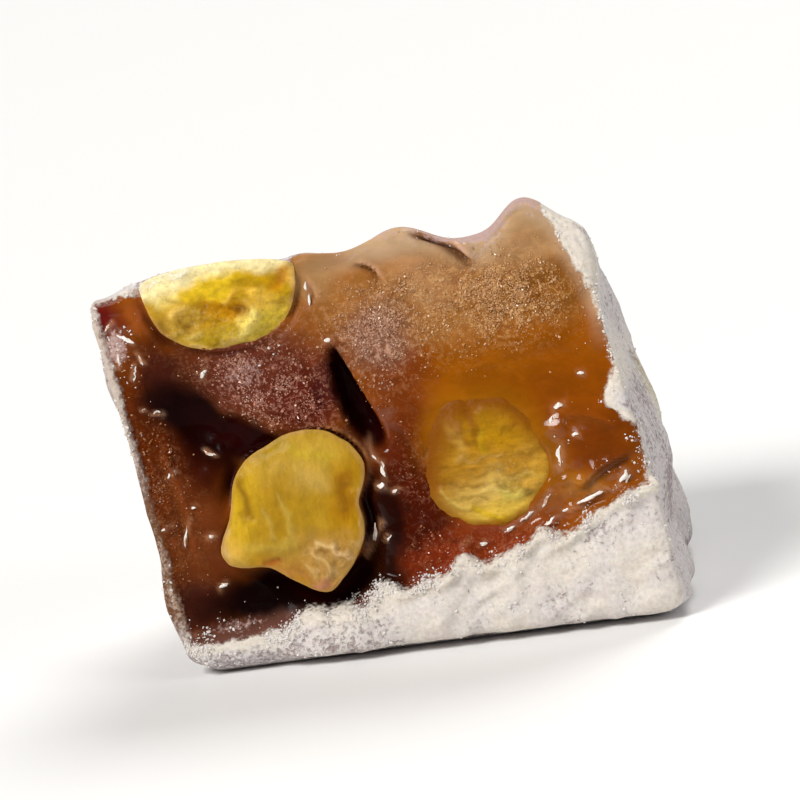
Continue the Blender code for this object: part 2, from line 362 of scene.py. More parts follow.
# Between these places the powder is rubbed off the crest of the lip, this far back
BARE_CREST = (-4.0, 12.6)
BARE_CREST_DEPTH = 1.9
# The crest sets no limit in front of the edge: it starts from this and falls so much a millimetre
CREST_LIMIT = 6.0
CREST_LIMIT_FALL = 24.0


def flap_share(x):
    """0 left of the place where the flap starts and 1 right of it, over four millimetres."""
    return smoothstep(FLAP_START - 2.0, FLAP_START + 2.0, x)


def flap_top(x):
    """Height of the flap's torn edge: straight runs between the places, plus two ragged waves."""
    ragged = sum(height * np.sin(math.tau * x / wave + phase) for wave, height, phase in FLAP_RAGGED)
    straight = np.interp(x, FLAP_PLACES, FLAP_HEIGHTS)
    return straight + ragged * flap_share(x) - FOOT_DROP * (1 - flap_share(x))


def rim_wander(points):
    """How far the torn rim strays: noises of falling size."""
    return sum(height * noise(points, size, 31 + k) for k, (size, height) in enumerate(RIM_WANDER))


left_end = -WIDTH / 2 + SKEW - 2 * SKEW * share_up
from_left = x - left_end - LEFT_RIM
calm_left = 1 - LEFT_CALM * soft(from_left, 2.0)
from_right = np.interp(z, RIGHT_RIM_HEIGHTS, RIGHT_RIM_PLACES) - x
above_flap = (z - flap_top(x)) * FLAP_SLOPE
under_lip = lip_height(x) - TOP_RIM - z
crest_start, crest_end = BARE_CREST
bare_crest = smoothstep(crest_start - 1.0, crest_start + 1.0, x) * smoothstep(crest_end + 0.8, crest_end, x)
past_edge = behind * DEPTH
over_crest = 0.5 + BARE_CREST_DEPTH * bare_crest - past_edge
over_crest = np.maximum(over_crest, CREST_LIMIT - CREST_LIMIT_FALL * past_edge)
inside = np.minimum.reduce([from_left, from_right, above_flap, under_lip + 0.9 * bare_crest, over_crest])
rim = inside + rim_wander(block) * calm_left * smoothstep(-0.5, 0.2, under_lip)
print(f"rim: {int((rim > 0).sum())} corners of bare jelly, widest {rim.max():.1f} mm inside")

# %% [markdown]
# ## The large relief, as in the solid
#
# Bumps over hidden nuts, the hollows beside the kernels, soft folds of the rind, the flared foot and
# the torn flap. Each is a soft bump or a wave added along the outward direction.

# %% Large relief
# Corners that face down as squarely as the first stay flat; up from the second the relief is whole
FLAT_FOOT = (-0.9, -0.3)


def swelling(points, name):
    """0 to 1 round a named bump: a soft ball about its middle."""
    sx, sy, sz, radius, _ = SWELLINGS[name]
    return soft(np.linalg.norm(points - np.array([sx, sy, sz]), axis=1), radius)


clear_of_foot = smoothstep(*FLAT_FOOT, normal[:, 2])
rind_share = 1 - cut_share
relief = sum(SWELLINGS[name][4] * swelling(block, name) for name in SWELLINGS)
for direction, wave, height in FOLDS:
    along = block @ (np.array(direction) / np.linalg.norm(direction))
    bent = along + FOLD_BEND * np.sin(math.tau * block[:, 2] / (FOLD_BEND_LENGTH * wave))
    relief += rind_share * height * np.sin(math.tau * bent / wave)
relief += rind_share * FOOT_FLARE * soft(z, FOOT_HEIGHT)
print(f"large relief: {relief.min():.2f} to {relief.max():.2f} mm")

# %% [markdown]
# ## The torn rim and the flap
#
# The dried, powdered skin is about half a millimetre thick and stands over the wet cut. At the lower
# right the knife dragged it up as a flap with a rolled edge. A step that falls across the rim gives the
# skin its thickness, and a soft ridge just outside gives it the roll.

# %% Torn rim
SKIN_THICKNESS = 0.35
ROLL_HEIGHT = 0.35
ROLL_WIDTH = 0.45
# The crest of the roll lies this far outside the torn edge
ROLL_PLACE = 0.35
CRUMPLE_HEIGHT = 0.25
FINE_CRUMPLE_HEIGHT = 0.12
# Wrinkles that run up to the right along the flap, with their mean height taken off
WRINKLE_HEIGHT = 0.34
WRINKLE_MEAN = 0.4

step_down = smoothstep(0.25, -0.35, rim)
side_skin = SKIN_THICKNESS * step_down * smoothstep(0.4, 1.6, under_lip)
flap_started = flap_share(x)
flap_edge = above_flap + (rim - inside)
flap = flap_started * smoothstep(0.35, -0.45, flap_edge)
roll = ROLL_HEIGHT * soft(flap_edge + ROLL_PLACE, ROLL_WIDTH) * smoothstep(1.2, -0.6, above_flap)
crumpled = CRUMPLE_HEIGHT * layered_noise(block, 2.6, 41) + FINE_CRUMPLE_HEIGHT * noise(block, 0.8, 47)
drawn = np.column_stack([0.5 * (x + z), 1.6 * (z - 0.5 * x), 0.3 * block[:, 1]])
crumpled += WRINKLE_HEIGHT * (ridged(drawn, 2.2, 43) - WRINKLE_MEAN)
torn = np.maximum(side_skin, FLAP_THICKNESS * flap + flap_started * roll) + crumpled * flap
print(f"torn rim: up to {torn[on_cut].max():.2f} mm over the cut")

# %% [markdown]
# ## Gaps and hollows beside the kernels
#
# Jelly shrinks from a kernel as it sets, so a gap opens along part of the outline, and the shade in it is
# painted near black further on. The slit right of the centre is such a gap torn wider by the knife. Each
# gap is a soft groove that follows the outline and fades in and out with the direction from the kernel's
# middle.

# %% Grooves, beds and the slit
# Kernel: direction in degrees, half spread in degrees, depth, width, distance from the outline
GAPS = {
    "pistachio_centre": ((-14, 34, 1.3, 0.50, 0.40), (-75, 50, 1.4, 0.9, 0.6), (50, 30, 0.5, 0.16, 0.05),
                         (105, 35, 0.5, 0.35, 0.15), (148, 22, 0.9, 0.55, 0.3)),
    "pistachio_top": ((-90, 70, 0.55, 0.4, 0.2), (-150, 35, 0.7, 0.5, 0.3), (-25, 25, 0.5, 0.4, 0.25)),
    "pistachio_right": ((-60, 50, 0.15, 0.3, 0.4),),
}
BED_DIP = {"pistachio_centre": 1.4, "pistachio_top": 1.6, "pistachio_right": 0.9}
# A bed is at its full depth this far inside the kernel's outline
BED_EDGE = (0.15, -0.9)
# The jelly laps over the right kernel's edge by this much
BED_INSET = {"pistachio_right": 0.35}
# No groove is cut further inside the outline than this
GROOVE_REACH = 0.6
SLIT_PLACE = (-1.35, 17.95)
SLIT_HALF = (1.0, 3.0, 4.0)
SLIT_TURN = math.radians(-19.5)
# The slit is this much wider at its lower end, and its middle bows to the left
SLIT_BELLY = 0.28
SLIT_BOW = 0.55
# The middle kernel's brown skin is a ridge at its upper right: direction, spread, distance, width, height
SKIN_RIDGE = (40.0, 27.0, 0.34, 0.12, 0.50)


def groove(distance, direction, middle, spread, width, offset):
    """0 to 1 in a gap: a soft bump across the outline times a soft bump round it."""
    turn = (direction - middle + 180.0) % 360.0 - 180.0
    return soft(distance - offset, width) * soft(turn, spread) * (distance > -GROOVE_REACH)


gaps = np.zeros(len(block))
beds = np.zeros(len(block))
for name, rows in GAPS.items():
    distance, direction = beside_kernel(x, z, name)
    for middle, spread, depth, width, offset in rows:
        gaps = np.maximum(gaps, depth * groove(distance, direction, middle, spread, width, offset))
    inset = BED_INSET.get(name, 0.0)
    beds = np.maximum(beds, BED_DIP[name] * smoothstep(BED_EDGE[0] - inset, BED_EDGE[1] - inset, distance))

slit_x = (x - SLIT_PLACE[0]) * math.cos(SLIT_TURN) - (z - SLIT_PLACE[1]) * math.sin(SLIT_TURN)
slit_z = (x - SLIT_PLACE[0]) * math.sin(SLIT_TURN) + (z - SLIT_PLACE[1]) * math.cos(SLIT_TURN)
slit_x = slit_x + SLIT_BOW * (1 - (slit_z / SLIT_HALF[2]) ** 2)
slit_x = slit_x / (1 - SLIT_BELLY * slit_z / SLIT_HALF[2])
slit = np.clip(1.1 - (slit_x / SLIT_HALF[0]) ** 2 - (slit_z / SLIT_HALF[2]) ** 2, 0.0, 0.8)

ridge_turn, ridge_spread, ridge_away, ridge_width, ridge_height = SKIN_RIDGE
centre_away, centre_turn = beside_kernel(x, z, "pistachio_centre")
ridge_lumps = 0.60 + 0.8 * noise(block, 0.6, 49)
skin_ridge = soft(centre_away - ridge_away, ridge_width) * soft(centre_turn - ridge_turn, ridge_spread)
skin_ridge = np.clip(skin_ridge * ridge_lumps, 0, 1)
print(f"gaps up to {gaps.max():.1f} mm deep, the slit {SLIT_HALF[1] * slit.max():.1f} mm")

# %% [markdown]
# ## Small forms of the cut face
#
# The knife drags the jelly as it goes: it leaves curled creases under the lip, beads and wet crumbs
# beside the kernels, and a faint waviness in the clear field. Each crease is a line segment with a dip
# along it and a raised edge above it.

# %% Creases and beads
# Crease: start x, z, end x, z, half width, depth, raised edge
CREASES = (
    (3.9, 28.7, 7.8, 25.9, 0.30, 0.95, 0.60),
    (-0.2, 27.0, 1.4, 25.4, 0.22, 0.60, 0.40),
    (-3.9, 26.6, -3.7, 24.6, 0.22, 0.35, 0.22),
    (-4.9, 21.3, -3.6, 17.2, 0.40, 0.25, 0.20),
    (13.2, 9.6, 17.0, 11.6, 0.28, 0.45, 0.40),
    (12.9, 14.6, 16.2, 13.4, 0.30, 0.25, 0.25),
    (1.0, 15.6, 2.2, 11.8, 0.30, 0.30, 0.20),
    (-16.0, 16.0, -14.6, 8.5, 0.35, 0.30, 0.25),
)
# Wet ridges of melted sugar, painted pale as highlights: x, z, half length, half width, turn in degrees
GLINTS = (
    (-3.8, 25.5, 0.95, 0.16, -96), (-2.8, 22.15, 0.22, 0.20, 0), (-17.8, 25.2, 0.50, 0.16, 40),
    (-16.9, 24.1, 0.70, 0.17, -35), (-16.6, 21.7, 0.60, 0.15, 70), (-16.0, 22.6, 0.45, 0.15, 110),
    (-17.6, 22.6, 0.55, 0.15, 80), (-15.5, 18.6, 0.30, 0.15, 0), (-15.1, 14.3, 0.35, 0.15, 30),
    (-12.3, 15.3, 0.50, 0.14, -20), (-11.8, 21.0, 0.45, 0.15, 50), (-1.75, 7.9, 1.45, 0.22, -116),
    (-0.6, 11.7, 0.28, 0.22, 0), (-12.5, 6.2, 0.35, 0.18, 20), (12.1, 12.2, 0.75, 0.22, -99),
    (12.4, 15.6, 0.36, 0.24, 20), (11.8, 14.7, 0.35, 0.15, 60), (13.4, 13.6, 0.25, 0.18, 0),
    (14.3, 17.6, 0.25, 0.18, 0), (16.3, 10.4, 0.55, 0.22, 60), (13.9, 9.3, 1.20, 0.17, 23),
    (16.0, 9.8, 0.90, 0.16, 35), (12.4, 8.5, 0.70, 0.20, 10), (10.6, 9.3, 0.60, 0.17, 50),
    (9.2, 8.3, 0.60, 0.16, 35), (7.9, 7.6, 0.45, 0.16, 15), (4.7, 7.2, 0.35, 0.15, 30),
    (5.9, 6.9, 0.30, 0.15, 0), (-0.9, 14.2, 0.80, 0.17, -70), (-0.3, 12.8, 0.60, 0.16, -85),
    (10.7, 7.8, 0.60, 0.15, 20), (-15.8, 10.7, 0.55, 0.16, 15), (-14.6, 10.2, 1.00, 0.11, 72),
    (-16.4, 19.0, 0.22, 0.15, 0), (-12.9, 9.7, 0.20, 0.16, 0), (-13.8, 11.9, 0.18, 0.14, 0),
    (0.3, 11.3, 0.22, 0.15, 20), (-0.7, 8.1, 0.35, 0.12, 50),
)
# Beaded places: x, z, half width, half height, strength
BEADS = {
    "right_of_centre_kernel": (1.4, 9.0, 2.0, 5.5, 1.0),
    "under_right_kernel": (6.2, 7.0, 4.2, 1.3, 1.3),
    "right_of_right_kernel": (12.3, 12.0, 1.2, 4.2, 1.3),
    "glossy_lobe": (15.2, 10.6, 2.2, 1.2, 1.2),
    "left_column": (-16.0, 14.5, 1.4, 8.5, 1.0),
    "dark_hollow": (-11.8, 15.6, 2.6, 1.6, 0.9),
    "bloomed_shoulder": (-7.6, 20.4, 4.2, 3.2, 0.7),
    "corner": (-17.4, 23.6, 1.2, 2.2, 1.0),
    "beside_slit": (0.6, 21.6, 2.0, 2.4, 0.7),
    "foot": (-11.5, 3.6, 5.0, 1.1, 1.1),
}
# Drops in the beaded places: height, ends of the step, size and seed of the noise
DROPS = (
    (0.34, 0.15, 0.75, 0.95, 51),
    (0.16, 0.20, 0.80, 0.50, 53),
)
# The film of jelly over the right kernel, and the rise of the jelly under each wet ridge
FILM_HEIGHT = 0.15
GLINT_RISE = 0.12


def crease_parts(x, z, row):
    """(dip, edge) of a crease, each a height in millimetres: a soft bump at the line's middle and one a
    width above it, both fading over the last part of its length."""
    x0, z0, x1, z1, width, depth, edge = row
    length = math.hypot(x1 - x0, z1 - z0)
    along = ((x - x0) * (x1 - x0) + (z - z0) * (z1 - z0)) / length
    bow = 0.35 * np.sin(math.pi * np.clip(along / length, 0, 1))
    across = ((z - z0) * (x1 - x0) - (x - x0) * (z1 - z0)) / length - bow
    ends = smoothstep(-0.4, 0.8, along) * smoothstep(length + 0.4, length - 0.8, along)
    return depth * ends * soft(across, width), edge * ends * soft(across - 1.3 * width, width)


def ellipse_share(x, z, row):
    """0 to 1 inside a named ellipse with soft sides."""
    cx, cz, half_x, half_z = row[:4]
    return np.exp(-(((x - cx) / half_x) ** 2) - ((z - cz) / half_z) ** 2)


def named_places(rows):
    """For each corner of the jelly, the sum of every named ellipse's share times its strength."""
    return sum(row[4] * ellipse_share(x, z, row) for row in rows.values())


def stroke_share(x, z, row):
    """0 to 1 near a line segment: a soft bump of the distance to its nearest point."""
    x0, z0, x1, z1, width = row[:5]
    run_x, run_z = x1 - x0, z1 - z0
    along = np.clip(((x - x0) * run_x + (z - z0) * run_z) / (run_x**2 + run_z**2), 0.0, 1.0)
    return soft(np.hypot(x - x0 - along * run_x, z - z0 - along * run_z), width)


def glint_share(x, z, row):
    """The same for a wet ridge, which is given by its middle, half length, half width and turn."""
    gx, gz, length, width, turn = row
    half_x, half_z = length * math.cos(math.radians(turn)), length * math.sin(math.radians(turn))
    return stroke_share(x, z, (gx - half_x, gz - half_z, gx + half_x, gz + half_z, width))


dips, edges = (sum(parts) for parts in zip(*(crease_parts(x, z, row) for row in CREASES)))
strayed_x = x + 0.22 * noise(block, 0.9, 54) + 0.10 * noise(block, 0.4, 55)
strayed_z = z + 0.22 * noise(block, 0.9, 56) + 0.10 * noise(block, 0.4, 58)
on_glint = np.clip(sum(glint_share(strayed_x, strayed_z, row) for row in GLINTS), 0, 1)
beaded = np.clip(named_places(BEADS), 0, 1)
drops = sum(height * smoothstep(low, high, noise(block, size, seed))
            for height, low, high, size, seed in DROPS)
ripples = 0.07 * noise(block * (0.5, 1.0, 1.6), 1.6, 57) + 0.10 * noise(block, 3.2, 59)
bare = smoothstep(-0.1, 0.4, rim)
right_away, _ = beside_kernel(x, z, "pistachio_right")
film = FILM_HEIGHT * smoothstep(2.2, -0.3, right_away)
wet_forms = beaded * drops + ripples + film + ridge_height * skin_ridge + GLINT_RISE * on_glint
small_forms = bare * (edges - dips + wet_forms)
print(f"{len(CREASES)} creases, {len(GLINTS)} wet ridges, beads on {int((beaded > 0.4).sum())} corners")

# %% [markdown]
# ## The rind's fine folds
#
# Where the pieces pressed on each other in the box, the powdered skin is puckered. Ridged noise gives
# such puckers, because its crests are sharp. Over a hidden nut the skin is stretched, stands a little
# higher and has a crease round it.

# %% Puckers of the rind
PUCKER_HEIGHT = 0.26
FINE_PUCKER_HEIGHT = 0.10
SWELL_HEIGHT = 0.22
PUCKER_MEAN = 0.2
# Reach of the stretched skin over a nut, its rise, and the depth of the crease round it
NUT_REACH = 4.1
NUT_RISE = 0.25
NUT_CREASE = 0.12

# The puckers are drawn out upwards, and a broad noise bends them
pull = block * (1.0, 0.8, 0.45) + 0.8 * noise(block, 4.0, 61)[:, None]
puckers = PUCKER_HEIGHT * ridged(pull, 3.1, 63)
puckers += FINE_PUCKER_HEIGHT * ridged(block * (1.0, 1.0, 0.6), 1.3, 65)
puckers += SWELL_HEIGHT * layered_noise(block, 4.5, 67)
puckers = (puckers - PUCKER_MEAN) * smoothstep(0.2, -0.8, rim) * smoothstep(0.0, 2.5, z)

nut_places = np.array([row[:3] for name, row in SWELLINGS.items() if name.startswith("nut_")])
from_nut = np.linalg.norm((block[:, None, :] - nut_places) * (0.85, 1.0, 1.25), axis=2).min(axis=1)
from_nut += 1.1 * layered_noise(block, 3.4, 69)
on_rind = smoothstep(-0.2, -1.2, rim)
nut_below = smoothstep(NUT_REACH + 0.6, NUT_REACH - 2.0, from_nut) * on_rind
nut_edge = soft(from_nut - NUT_REACH, 0.28) * on_rind * smoothstep(-0.1, 0.5, noise(block, 2.2, 70))
puckers += NUT_RISE * nut_below - NUT_CREASE * nut_edge
print(f"puckers up to {puckers.max():.2f} mm, {len(nut_places)} nuts below the rind")

# %% [markdown]
# ## The jelly's mesh
#
# All the relief is added up and carried along the outward direction, so the skin stays one closed sheet.
# The flat foot keeps its height. The mesh goes to Blender as whole lists, and numbers that a material
# needs later are kept on the mesh as attributes, one value for each corner.

# %% Add the relief up and build the jelly
depth = np.maximum.reduce([gaps, beds, SLIT_HALF[1] * slit * bare])
relief = relief + torn * cut_share + puckers + cut_share * small_forms - cut_share * depth
jelly_points = block + normal * (relief * clear_of_foot)[:, None]
on_foot = cube[:, 2] <= -1.0
jelly_points[:, 2] = np.where(on_foot, block[:, 2], np.maximum(jelly_points[:, 2], 0.0))
jelly_points += (*CENTRING, 0.0)


def new_piece(name, points, faces, replaced=()):
    """A smooth mesh object at the origin from points in millimetres, riding on the root body."""
    mesh = bpy.data.meshes.new(name)
    mesh.from_pydata((points * MM).tolist(), [], faces.tolist() if hasattr(faces, "tolist") else faces)
    mesh.shade_smooth()
    piece = bpy.data.objects.new(name, mesh)
    bpy.context.scene.collection.objects.link(piece)
    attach(piece, "root")
    if replaced:
        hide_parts(*replaced)
    return piece


def keep_value(piece, name, values):
    """Stores one number for each corner of the mesh, for a material or a later cell to read."""
    attribute = piece.data.attributes.new(name, "FLOAT", "POINT")
    attribute.data.foreach_set("value", values.astype(np.float32))


def keep_color(piece, name, colors):
    """Stores one colour for each corner of the mesh, with full alpha."""
    attribute = piece.data.color_attributes.new(name, "FLOAT_COLOR", "POINT")
    opaque = np.column_stack([colors, np.ones(len(colors))]).astype(np.float32)
    attribute.data.foreach_set("color", opaque.ravel())


jelly = new_piece("jelly", jelly_points, jelly_faces, ["jelly"])
print(f"jelly: {np.round(np.ptp(jelly_points, axis=0), 2)} mm")

# %% [markdown]
# ## The colours inside the jelly
#
# Boiled jelly is amber where it is thin and red-brown to nearly black where it is thick. The near black in
# the hollow at the upper left and beside and under the middle kernel is painted shade, as is the dark
# beside the slit, and the dark at the lower left of the foot is a painted shadow. Starch that worked into
# the surface gives dusty mauve and tan places. Each colour below lies in a named ellipse of the cut face;
# the places are shifted about by noise first, so that no edge is round.

# %% Colour patches of the cut
AMBER = (0.270, 0.068, 0.003)
# Patch: x, z, half width, half height, turn in degrees, softness, strength, colour
PATCHES = {
    "golden_field": (9.0, 18.6, 7.5, 3.2, 0, 0.5, 0.8, (0.260, 0.072, 0.001)),
    "lower_right_field": (13.5, 15.0, 4.0, 4.5, 0, 0.5, 0.7, (0.205, 0.044, 0.001)),
    "pinkish_beside_slit": (1.2, 17.6, 2.3, 4.6, -14, 0.5, 0.9, (0.165, 0.031, 0.004)),
    "red_between_kernels": (1.2, 9.6, 3.0, 6.2, 0, 0.5, 0.95, (0.085, 0.008, 0.001)),
    "dark_between_kernels": (1.6, 8.0, 2.6, 3.4, 0, 0.6, 0.9, (0.052, 0.005, 0.001)),
    "red_under_right_kernel": (5.5, 6.4, 5.5, 1.9, 8, 0.5, 0.9, (0.190, 0.023, 0.005)),
    "left_column": (-15.5, 12.5, 4.2, 12.0, 9, 0.4, 0.95, (0.088, 0.013, 0.001)),
    "left_column_foot": (-14.0, 9.6, 2.6, 3.8, 0, 0.6, 0.75, (0.140, 0.034, 0.008)),
    # The lower left of the foot is darkened: a painted shadow
    "shadow_on_foot_corner": (-14.2, 5.2, 2.2, 1.8, 0, 0.6, 0.85, (0.032, 0.007, 0.005)),
    "under_top_kernel": (-11.5, 21.8, 4.6, 2.2, 14, 0.5, 0.9, (0.078, 0.015, 0.004)),
    "mauve_shoulder": (-7.6, 20.2, 4.9, 3.4, 12, 0.45, 0.9, (0.115, 0.024, 0.014)),
    "mauve_shoulder_foot": (-4.9, 18.0, 2.6, 2.8, 0, 0.5, 0.9, (0.100, 0.012, 0.005)),
    # Painted shade on the left side of the slit
    "shade_left_of_slit": (-3.3, 19.4, 0.9, 2.2, -17, 0.7, 0.8, (0.045, 0.005, 0.006)),
    "dark_under_corner": (-15.0, 22.0, 1.6, 2.0, 0, 0.6, 0.85, (0.042, 0.006, 0.003)),
    "red_below_hollow": (-12.5, 14.7, 1.8, 2.1, 0, 0.6, 0.9, (0.030, 0.003, 0.001)),
    # The hollow and its end are near black: painted shade inside them
    "dark_hollow": (-12.8, 17.5, 4.7, 2.2, -42, 0.35, 1.0, (0.008, 0.0005, 0.0003)),
    "dark_hollow_end": (-9.5, 16.0, 2.8, 1.5, -14, 0.4, 1.0, (0.014, 0.0008, 0.0005)),
    "corner": (-18.2, 25.5, 1.3, 1.4, 0, 0.8, 1.0, (0.115, 0.006, 0.004)),
    "orange_by_top_kernel": (-15.2, 25.5, 1.3, 1.2, 30, 0.5, 0.9, (0.330, 0.080, 0.014)),
    # Near black under and beside the middle kernel: painted shade in its hollows and gaps
    "shade_under_centre_kernel": (-7.2, 4.9, 6.6, 1.9, 0, 0.35, 1.0, (0.005, 0.001, 0.001)),
    "shade_beside_centre_kernel": (-0.9, 8.4, 1.5, 4.6, -6, 0.45, 0.95, (0.012, 0.002, 0.001)),
    "tan_field": (6.5, 24.6, 10.5, 3.6, 0, 0.35, 0.95, (0.315, 0.128, 0.030)),
    "tan_crown": (11.3, 27.6, 4.2, 2.7, 0, 0.5, 0.9, (0.400, 0.220, 0.095)),
    "brown_below_crown": (13.0, 23.6, 3.6, 2.0, 0, 0.6, 0.9, (0.230, 0.080, 0.010)),
    "pale_crest": (2.4, 28.3, 2.6, 1.3, 0, 0.6, 0.8, (0.540, 0.360, 0.220)),
    # Painted shade by the foot of the slit
    "shade_by_slit_foot": (-1.7, 15.3, 1.3, 1.5, 0, 0.6, 0.85, (0.045, 0.006, 0.002)),
    "tan_ridge": (4.4, 25.4, 2.6, 1.6, -20, 0.6, 0.8, (0.410, 0.205, 0.085)),
    "tan_by_top_kernel": (-3.6, 26.6, 1.9, 1.5, 0, 0.6, 0.85, (0.350, 0.190, 0.072)),
    "orange_lobe_foot": (13.4, 10.0, 1.6, 0.9, 10, 0.5, 0.9, (0.340, 0.120, 0.010)),
    "speckled_beside_slit": (0.6, 22.0, 2.4, 2.2, 0, 0.5, 0.7, (0.250, 0.115, 0.075)),
    "glossy_lobe": (15.2, 12.8, 2.3, 2.3, 0, 0.5, 0.9, (0.150, 0.030, 0.002)),
    "foot": (-4.0, 2.3, 15.0, 1.4, 0, 0.4, 0.9, (0.120, 0.050, 0.038)),
}
SHIFT_SIZE = 2.2
SHIFT_MOST = 0.7


def turned_ellipse(x, z, row):
    """(across, up) from an ellipse's middle, turned with it and as shares of its half sizes."""
    cx, cz, half_x, half_z, turn = row[:5]
    c, s = math.cos(math.radians(turn)), math.sin(math.radians(turn))
    return ((x - cx) * c + (z - cz) * s) / half_x, (-(x - cx) * s + (z - cz) * c) / half_z


def in_patch(x, z, row):
    """0 to 1 in a turned ellipse: the S-shaped step falls from 1 - softness to 1 + softness of the way
    from its middle to its edge."""
    softness, strength = row[5:7]
    return strength * smoothstep(1 + softness, 1 - softness, np.hypot(*turned_ellipse(x, z, row)))


def toward(color, other, share):
    """Each corner's colour moved towards another by its share."""
    return color * (1 - share[:, None]) + np.array(other) * share[:, None]


shift_x = SHIFT_MOST * layered_noise(block, SHIFT_SIZE, 71)
shift_z = SHIFT_MOST * layered_noise(block, SHIFT_SIZE, 75)
tint = np.tile(np.array(AMBER), (len(block), 1))
for row in PATCHES.values():
    tint = toward(tint, row[-1], in_patch(x + shift_x, z + shift_z, row))
print(f"{len(PATCHES)} patches, mean colour of the cut {np.round(tint[on_cut].mean(axis=0), 3)}")

# %% Colours of the lip and the edges, and painted light and shade on the creases
LIP_COLOR = (0.500, 0.330, 0.185)
CREST_COLOR = (0.680, 0.530, 0.420)
# Dips of the creases are painted darker as shade, and curls under the lip paler as a highlight
CREASE_SHADE = (0.160, 0.050, 0.008)
CURL_HIGHLIGHT = (0.560, 0.330, 0.210)
RIDGE_COLOR = (0.520, 0.240, 0.090)
EDGE_BEIGE = (0.480, 0.320, 0.200)

pale_lip = smoothstep(2.0, 0.2, under_lip + shift_z) * smoothstep(-5.0, 1.0, x)
tint = toward(tint, LIP_COLOR, 0.85 * pale_lip)
crest_dust = bare_crest * smoothstep(0.0, -0.3, under_lip) * smoothstep(-0.6, 0.3, noise(block, 1.4, 78))
tint = toward(tint, CREST_COLOR, 0.7 * crest_dust)
# Raised edges of the creases are painted lighter as a highlight, and their dips darker as shade
raised = edges * bare
tint = toward(tint, CURL_HIGHLIGHT, np.clip(1.3 * raised, 0, 0.7) * smoothstep(23.0, 25.0, z))
tint *= 1 + 0.6 * np.clip(raised, 0, 1)[:, None]
tint = toward(tint, CREASE_SHADE, np.clip(1.2 * dips * bare, 0, 0.85) * smoothstep(0.05, 0.2, tint[:, 0]))
tint = toward(tint, RIDGE_COLOR, 0.7 * skin_ridge)
tint = toward(tint, EDGE_BEIGE, 0.6 * smoothstep(1.4, 0.1, from_right) * smoothstep(18.5, 22.0, z))
print(f"pale lip on {int((pale_lip > 0.5).sum())} corners, dust on {int((crest_dust > 0.5).sum())}")

# %% Glow round the right kernel and painted shade in the gaps
KERNEL_GLOW = (0.280, 0.092, 0.002)
# The glow fades over this distance from the kernel, and towards its lower left
GLOW_REACH = (1.5, -0.4)
GLOW_RISE = (-3.0, 1.5)
GLOW_SLANT = 0.4
GAP_SHADE = (0.014, 0.001, 0.001)
GLINT_COLOR = (0.460, 0.210, 0.100)

glow_x, glow_z = KERNELS["pistachio_right"]["place"]
glow = 0.9 * smoothstep(*GLOW_REACH, right_away + 0.5 * shift_x)
glow *= smoothstep(*GLOW_RISE, z - glow_z + GLOW_SLANT * (x - glow_x))
tint = toward(tint, KERNEL_GLOW, glow)
# The gaps and the slit are painted near black: painted shade in the recesses
in_gap = np.clip(np.maximum(smoothstep(0.25, 0.9, gaps), smoothstep(0.05, 0.35, slit)), 0, 1)
tint = toward(tint, GAP_SHADE, in_gap)
# Each wet ridge is painted paler along its length: a painted highlight
tint = toward(tint, GLINT_COLOR, 0.45 * on_glint * bare)
tint = np.clip(tint, 0, 1)
keep_color(jelly, "jelly_tint", tint)
print(f"glow on {int((glow > 0.5).sum())} corners, gaps on {int((in_gap > 0.5).sum())}")

# %% [markdown]
# ## Where sugar, bloom, wetness and powder show
#
# The material needs more than a colour at each corner: how far inside the rim it lies, how much sugar,
# dried starch, wetness or gap there is on the cut, how thick the powder on the rind is, how high its
# puckers stand, and where a nut lies below. Named ellipses give most of the places again.

# %% Sugar, bloom and wetness of the cut
# Place: x, z, half width, half height, strength
SUGARY = {
    "tan_field": (4.5, 23.4, 6.5, 2.6, 0.9),
    "tan_field_right": (10.5, 23.8, 3.5, 2.8, 0.9),
    "beside_slit": (0.4, 21.6, 2.4, 3.0, 0.9),
    "shoulder": (-8.6, 20.4, 3.6, 3.0, 0.85),
    "shoulder_foot": (-4.8, 17.2, 2.0, 2.4, 0.6),
    "left_column": (-15.7, 12.5, 2.0, 7.0, 0.45),
    "under_right_kernel": (6.5, 6.8, 4.0, 1.2, 0.5),
    "between_kernels": (1.6, 10.0, 1.8, 4.0, 0.5),
}
BLOOMED = {
    "shoulder": (-9.0, 20.9, 3.2, 2.3, 0.85),
    "beside_slit": (0.4, 22.2, 2.0, 2.0, 0.6),
    "corner": (-17.6, 23.6, 1.1, 1.8, 1.35),
    "foot": (-12.0, 3.4, 4.0, 0.9, 0.9),
}
WET = {
    "glossy_lobe": (15.0, 10.4, 1.9, 1.3, 1.0),
    "under_right_kernel": (9.6, 8.2, 3.0, 0.9, 1.0),
    "slit_edge": (0.3, 16.2, 0.8, 3.0, 1.0),
    "corner": (-17.6, 24.6, 1.0, 1.6, 1.0),
    "right_of_centre_kernel": (-1.6, 8.0, 0.8, 3.0, 1.0),
    "right_of_right_kernel": (12.0, 12.6, 0.9, 3.4, 1.0),
    "crease_under_lip": (6.0, 27.2, 2.4, 1.6, 1.0),
}

sugar = np.clip(named_places(SUGARY), 0, 1)
sugar *= smoothstep(0.02, 0.09, tint[:, 0]) * np.clip(0.85 + 0.6 * layered_noise(block, 2.8, 79), 0.2, 1.15)
bloom = np.clip(named_places(BLOOMED) + 0.8 * pale_lip + 0.6 * crest_dust, 0, 1.4)
wet = np.clip(named_places(WET) + on_glint, 0, 1)
print(f"sugar on {int((sugar > 0.5).sum())} corners, bloom on {int((bloom > 0.5).sum())}")

# %% Colour of the grains of sugar
GRAIN_TAN = (0.650, 0.360, 0.150)
